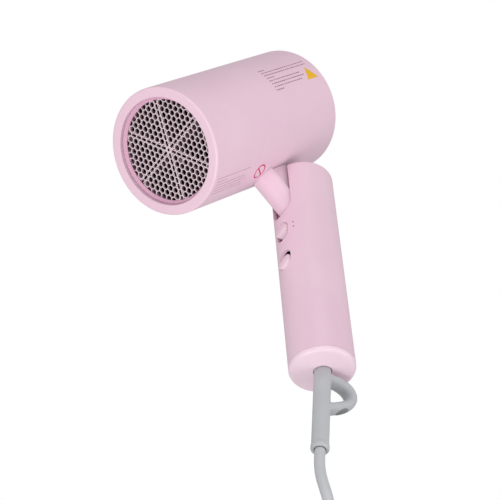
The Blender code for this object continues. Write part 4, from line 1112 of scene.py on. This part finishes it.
# %% [markdown]
# ## Cord guard with its hanging loop
#
# The guard is one piece of soft rubber: a stem through the cap, a long sleeve that leans forward
# with a swollen lip at its end, and a loop to hang the dryer by. Where rubber parts meet, the
# mould has generous rounds. The parts are put together as one voxel remesh, and smoothing then
# rounds the joints. The cord's bore is cut last, so that it stays crisp. The loop's underside has
# a rough dark pad.

# %% Cord guard
GUARD_RADIUS, GUARD_LENGTH, GUARD_LIP = 0.0045, 0.0538, 0.0048
GUARD_LEAN = math.radians(7.8)
LOOP_THICKNESS, LOOP_WIDTH = 0.0058, 0.0088
LOOP_ROUTE = [(-0.0005, 0, -0.0618), (-0.0085, 0, -0.0620), (-0.0142, 0, -0.0646), (-0.0162, 0, -0.0692),
              (-0.0138, 0, -0.0739), (-0.0080, 0, -0.0780), (0.0010, 0, -0.0825)]
LEANING = Matrix.Translation((0, 0, HANDLE_END)) @ Matrix.Rotation(math.pi - GUARD_LEAN, 4, "Y")
stem_low = cap_floor + 0.0003
stem = [(0, stem_low + 0.006), (GUARD_RADIUS, stem_low + 0.006), (GUARD_RADIUS, stem_low + 0.002)]
stem += [(0.0072, stem_low + 0.002), (0.0072, stem_low), (GUARD_RADIUS, stem_low)]
stem += [(GUARD_RADIUS, HANDLE_END - 0.0004), (0, HANDLE_END - 0.0004)]
sleeve = [(0, GUARD_LENGTH), (GUARD_LIP - 0.0005, GUARD_LENGTH), (GUARD_LIP, GUARD_LENGTH - 0.0005)]
sleeve += [(GUARD_LIP, GUARD_LENGTH - 0.0024), (GUARD_RADIUS, GUARD_LENGTH - 0.0034)]
sleeve += [(GUARD_RADIUS, 0), (0, 0)]
loop = round_curve("loop", smooth_route(LOOP_ROUTE, 0.0012), LOOP_THICKNESS / 2, 8)
loop = plain(loop, Matrix.Diagonal((1, LOOP_WIDTH / LOOP_THICKNESS, 1, 1)))
skin = round_curve("skin", smooth_route(LOOP_ROUTE, 0.0012), LOOP_THICKNESS / 2 + 0.00012, 8)
skin = plain(skin, Matrix.Diagonal((1, LOOP_WIDTH / LOOP_THICKNESS, 1, 1)))
loop_skin = skin.data.copy()
bpy.data.objects.remove(skin, do_unlink=True)
guard = joined("guard", [turned("stem", stem, steps=96), turned("sleeve", sleeve, LEANING, 96), loop])
remesh = guard.modifiers.new("remesh", "REMESH")
remesh.mode = "VOXEL"
remesh.voxel_size = 0.00035
smooth = guard.modifiers.new("smooth", "CORRECTIVE_SMOOTH")
smooth.iterations = 10
smooth.smooth_type = "LENGTH_WEIGHTED"
smooth.use_only_smooth = True
guard = plain(guard)
print("guard:", len(guard.data.polygons), "faces,", "lip", 2000 * GUARD_LIP, "mm")

# %% Bore of the guard
bore_radius = CORD_RADIUS + 0.0003
guard = combined(guard, [rod("bore", bore_radius, -0.0012, GUARD_LENGTH + 0.005, LEANING)])
guard = combined(guard, [rod("stem_bore", bore_radius, HANDLE_END - 0.001, stem_low + 0.01)])
finished(guard, guard_rubber, "handle", ["cord_guard"], sharp=45)
print("bored guard:", len(guard.data.polygons), "faces")

# %% Rough pad under the loop
PAD_PLACE = Vector((-0.0082, 0, -0.0782))
pad_down = Vector((-0.52, 0, -0.85)).normalized()
PAD_AT = matrix_of(pad_down.cross(Vector((0, 1, 0))).normalized(), Vector((0, 1, 0)), pad_down, PAD_PLACE)
pad = plain(add_object("loop_pad", loop_skin), Matrix.Identity(4))
oval = [(0.0042 * math.cos(math.tau * i / 48), 0.0030 * math.sin(math.tau * i / 48)) for i in range(48)]
pad = combined(pad, [plate("pad_edge", oval, 0.0005, 0.006, PAD_AT)], "INTERSECT")
finished(pad, pad_rubber, "handle")
print("pad:", len(pad.data.polygons), "faces")

# %% [markdown]
# ## The plug and the coil's tie
#
# The plug is a moulded block with rounded edges and a ribbed grip, on a tapered neck. The tie is
# a strip of hook tape round the coil.

# %% Plug body
plug_low, plug_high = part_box("plug_body")
PLUG_NECK = 0.014
tail_end = Vector(TAIL_ROUTE[-1])
LYING = matrix_of(Vector((0, -1, 0)), Vector((1, 0, 0)), Vector((0, 0, 1)),
                  Vector((plug_low.x, tail_end.y, tail_end.z)))
half_width = (plug_high.y - plug_low.y) / 2
bottom, top = plug_low.z - tail_end.z, plug_high.z - tail_end.z
body = box("plug", (-half_width, PLUG_NECK, bottom), (half_width, plug_high.x - plug_low.x, top), LYING)
body = rounded(body, 0.0034, 6)
neck_profile = [(0, PLUG_NECK + 0.004), (0.0056, PLUG_NECK + 0.004)]
for i in range(5):
    ring = PLUG_NECK - 0.0026 * i
    size = 0.0052 - 0.00035 * i
    neck_profile += [(size, ring - 0.0002), (size, ring - 0.0016), (size - 0.0008, ring - 0.0018),
                     (size - 0.0008, ring - 0.0025)]
neck_profile += [(0.0031, 0), (0, 0)]
ALONG_PLUG = LYING @ Matrix.Rotation(math.radians(-90), 4, "X")
body = combined(body, [turned("plug_neck", neck_profile, ALONG_PLUG, 64)], "UNION")
grips = []
for side in (-half_width, half_width):
    for i in range(6):
        y = PLUG_NECK + 0.006 + 0.0022 * i
        grips.append(box("grip", (side - 0.0005, y, bottom + 0.003), (side + 0.0005, y + 0.0009, top - 0.003),
                         LYING))
sockets = []
for node in ("plug_pin_left", "plug_pin_right"):
    low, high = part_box(node)
    room = Vector((0.0003, 0.0003, 0.0003))
    sockets.append(box("socket", low - room, high + room))
plug = combined(body, grips + sockets)
finished(plug, cord_rubber, "handle", ["plug_body"])
print("plug:", len(plug.data.polygons), "faces")

# %% Tie of hook tape
tie = plain(add_object("coil_strap", nodes["coil_tie"].data.copy()))
tie = rounded(tie, 0.0002, 2)
finished(tie, hook_tape, "handle", ["coil_tie"])
print("tie:", len(tie.data.polygons), "faces")

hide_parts("cord", "cord_coil", "cord_tail")
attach(mains_cord, "handle")
mains_cord.data.materials.append(cord_rubber)
print("declared cord of", round(cord_length, 3), "m")

# %% [markdown]
# ## Printing on the barrel
#
# The small print is left as lines of dashes with nothing to read, and the marks are plain shapes.
# Ink is a very thin raised layer. Everything is drawn flat, with X along the barrel and Y round
# it, and then wrapped: the distance round becomes an angle.

# %% Wrapping and printed lines
INK = 0.00005
WRAP_STEP = 0.0005


def wrapped(shape, along, degrees):
    """Wrap a flat shape round the barrel, its origin at a place along it and an angle up from +Y."""
    work = bmesh.new()
    work.from_mesh(shape.data)
    places = [vertex.co.y for vertex in work.verts]
    y = min(places) + WRAP_STEP
    while y < max(places):
        everything = work.verts[:] + work.edges[:] + work.faces[:]
        bmesh.ops.bisect_plane(work, geom=everything, plane_co=(0, y, 0), plane_no=(0, 1, 0))
        y += WRAP_STEP
    work.to_mesh(shape.data)
    work.free()
    for vertex in shape.data.vertices:
        x, round_it, height = vertex.co
        angle = math.radians(degrees) + round_it / BARREL_RADIUS
        radius = BARREL_RADIUS + height
        local = Vector((along + x, radius * math.cos(angle), radius * math.sin(angle)))
        vertex.co = BARREL @ local
    return shape


def printed_line_tree():
    """A row of dashes of random length: it stands for a line of small print."""
    tree, ins, outs = new_tree("printed_line", {"Length": 0.03, "Word": 0.0019, "Stroke": 0.0006,
                                                "Ink": INK, "Seed": 1.0})
    number = maths(tree, "CEIL", maths(tree, "DIVIDE", ins.outputs["Length"], ins.outputs["Word"]), 0)
    step = put(tree, "ShaderNodeCombineXYZ", {"X": maths(tree, "MULTIPLY", ins.outputs["Word"], -1)})
    places = put(tree, "GeometryNodeMeshLine", {"Count": number, "Offset": step.outputs[0]})
    dash = put(tree, "ShaderNodeCombineXYZ", {"X": ins.outputs["Word"], "Y": ins.outputs["Stroke"],
                                              "Z": ins.outputs["Ink"]})
    cube = put(tree, "GeometryNodeMeshCube", {"Size": dash.outputs[0]})
    size = put(tree, "FunctionNodeRandomValue", {2: 0.55, 3: 0.93, "Seed": ins.outputs["Seed"]})
    scale = put(tree, "ShaderNodeCombineXYZ", {"X": size.outputs[1], "Y": 1.0, "Z": 1.0})
    words = put(tree, "GeometryNodeInstanceOnPoints", {"Points": places.outputs[0],
                                                       "Instance": cube.outputs[0],
                                                       "Scale": scale.outputs[0]})
    finish_tree(tree, ins, outs, words.outputs[0])
    return tree


PRINTED_LINE = printed_line_tree()
print("printed line tree:", len(PRINTED_LINE.nodes), "nodes")

# %% Paragraph of small print
PRINT_START = -0.0712
PRINT_PITCH = 3.6                # degrees round the barrel
LINE_LENGTHS = (0.004, 0.040, 0.041, 0.006, 0.030, 0.031, 0.027, 0.0065)
lines = []
for i, length in enumerate(LINE_LENGTHS):
    line = grown("line", PRINTED_LINE, ink_mauve, Length=length, Seed=float(i + 3))
    lines.append(wrapped(line, PRINT_START, 19.3 - PRINT_PITCH * i))
small_print = joined("small_print", lines)
finished(small_print, ink_mauve, "barrel")
print("small print:", len(lines), "lines")

# %% Fainter lines under the barrel
lines = []
for i, length in enumerate((0.029, 0.008, 0.027, 0.028, 0.024, 0.026)):
    line = grown("line", PRINTED_LINE, ink_faint, Length=length, Word=0.0016, Stroke=0.0005,
                 Seed=float(i + 20))
    lines.append(wrapped(line, -0.0042, -67 - 3.3 * i))
under_print = joined("under_print", lines)
finished(under_print, ink_faint, "barrel")
print("under print:", len(lines), "lines")


# %% Plain marks: a triangle and a ring with a bar
def inked(name, outlines, material, along, degrees):
    """Flat outlines, wrapped on the barrel; the first is the outer edge, the others are holes."""
    curve = bpy.data.curves.new(name, "CURVE")
    curve.dimensions = "2D"
    curve.fill_mode = "BOTH"
    curve.extrude = INK / 2
    for outline in outlines:
        spline = curve.splines.new("POLY")
        spline.points.add(len(outline) - 1)
        for target, (x, y) in zip(spline.points, outline):
            target.co = (x, y, 0, 1)
        spline.use_cyclic_u = True
    shape = plain(add_object(name, curve))
    return finished(wrapped(shape, along, degrees), material, "barrel")


def soft_polygon(corners, radius, steps=8):
    """A convex outline with round corners."""
    outline = []
    count = len(corners)
    for i in range(count):
        corner = Vector(corners[i])
        before = (Vector(corners[i - 1]) - corner).normalized()
        after = (Vector(corners[(i + 1) % count]) - corner).normalized()
        start, end = corner + before * radius, corner + after * radius
        for j in range(steps + 1):
            share = j / steps
            outline.append(start * (1 - share) ** 2 + corner * 2 * share * (1 - share) + end * share ** 2)
    return [tuple(point) for point in outline]


def scaled(outline, factor):
    return [(x * factor, y * factor) for x, y in outline]


triangle = soft_polygon([(0, 0.0057), (0.0053, -0.0029), (-0.0053, -0.0029)], 0.0009)
inked("amber_triangle", [triangle], ink_amber, -0.1079, -0.9)
RING_RADIUS, RING_STROKE = 0.0047, 0.0009
ring = arc((0, 0), RING_RADIUS, 0, 355, 71)
ring_mark = inked("red_ring", [ring, scaled(ring, 1 - RING_STROKE / RING_RADIUS)], ink_red, -0.0460, -76.8)
bar_half = (RING_STROKE / 2, RING_RADIUS - RING_STROKE / 2)
bar = [(-bar_half[0], -bar_half[1]), (bar_half[0], -bar_half[1]), bar_half, (-bar_half[0], bar_half[1])]
tilt = math.radians(-45)
bar = [(x * math.cos(tilt) - y * math.sin(tilt), x * math.sin(tilt) + y * math.cos(tilt)) for x, y in bar]
inked("red_bar", [bar], ink_red, -0.0460, -76.8)
print("marks on the barrel: triangle, ring and bar")

# %% Two dots beside the upper switch
dots = []
for height in (0.0364, 0.0331):
    side = 0.0083
    front = math.sqrt(HANDLE_RADIUS ** 2 - side ** 2)
    outward = Vector((front, side, 0)).normalized()
    across = Vector((0, 0, 1)).cross(outward)
    where = matrix_of(across, Vector((0, 0, 1)), outward, outward * HANDLE_RADIUS + Vector((0, 0, height)))
    dots.append(rod("dot", 0.00045, -INK, INK, where, 24))
dots = joined("switch_dots", dots)
finished(dots, ink_mauve, "handle")
print("dots:", len(dots.data.polygons), "faces")

# %% [markdown]
# ## Inside
#
# Nodes whose shape is already right keep it. Each gets one of the finishes above, chosen by what
# the piece is made of.

# %% Finishes of the inner pieces
INNER = {
    "steel": (steel, ["motor", "motor_shaft", "hinge_pin_left", "hinge_pin_right", "hinge_washer_left",
                      "hinge_washer_right", "neck_screw_1", "neck_screw_2", "neck_screw_3",
                      "neck_screw_4", "chassis_screw_left", "chassis_screw_right", "clamp_screw_left",
                      "clamp_screw_right", "thermal_fuse"]),
    "duct": (dark_motor_plastic, ["motor_mount", "fan_impeller"]),
    "black": (black_plastic, ["thermal_cutout", "power_switch", "heat_switch", "handle_chassis",
                              "cord_clamp"]),
    "pink": (body_pink, ["hinge_fork"]),
    "mica": (mica, ["mica_sleeve", "mica_board_upright", "mica_board_level"]),
    "wire": (heater_wire, ["heater_coil_high", "heater_coil_low"]),
    "board": (circuit_green, ["switch_board"]),
    "sleeve": (wire_sleeve, ["barrel_wires", "handle_wires"]),
    "brass": (brass, ["plug_pin_left", "plug_pin_right"]),
    "rubber": (cord_rubber, ["cord_lead"]),
}
for material, names in INNER.values():
    for name in names:
        nodes[name].data.materials.clear()
        nodes[name].data.materials.append(material)
        nodes[name].data.shade_smooth()
        nodes[name].data.set_sharp_from_angle(angle=math.radians(32))
undressed = [name for name, node in nodes.items()
             if not node.hide_render and name not in sum((names for _, names in INNER.values()), [])]
print("inner pieces dressed; left over:", undressed)

# %% [markdown]
# ## The finished object's box
#
# The finished object has to stay inside the working model's box.

# %% Box of the finished object
low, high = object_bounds()
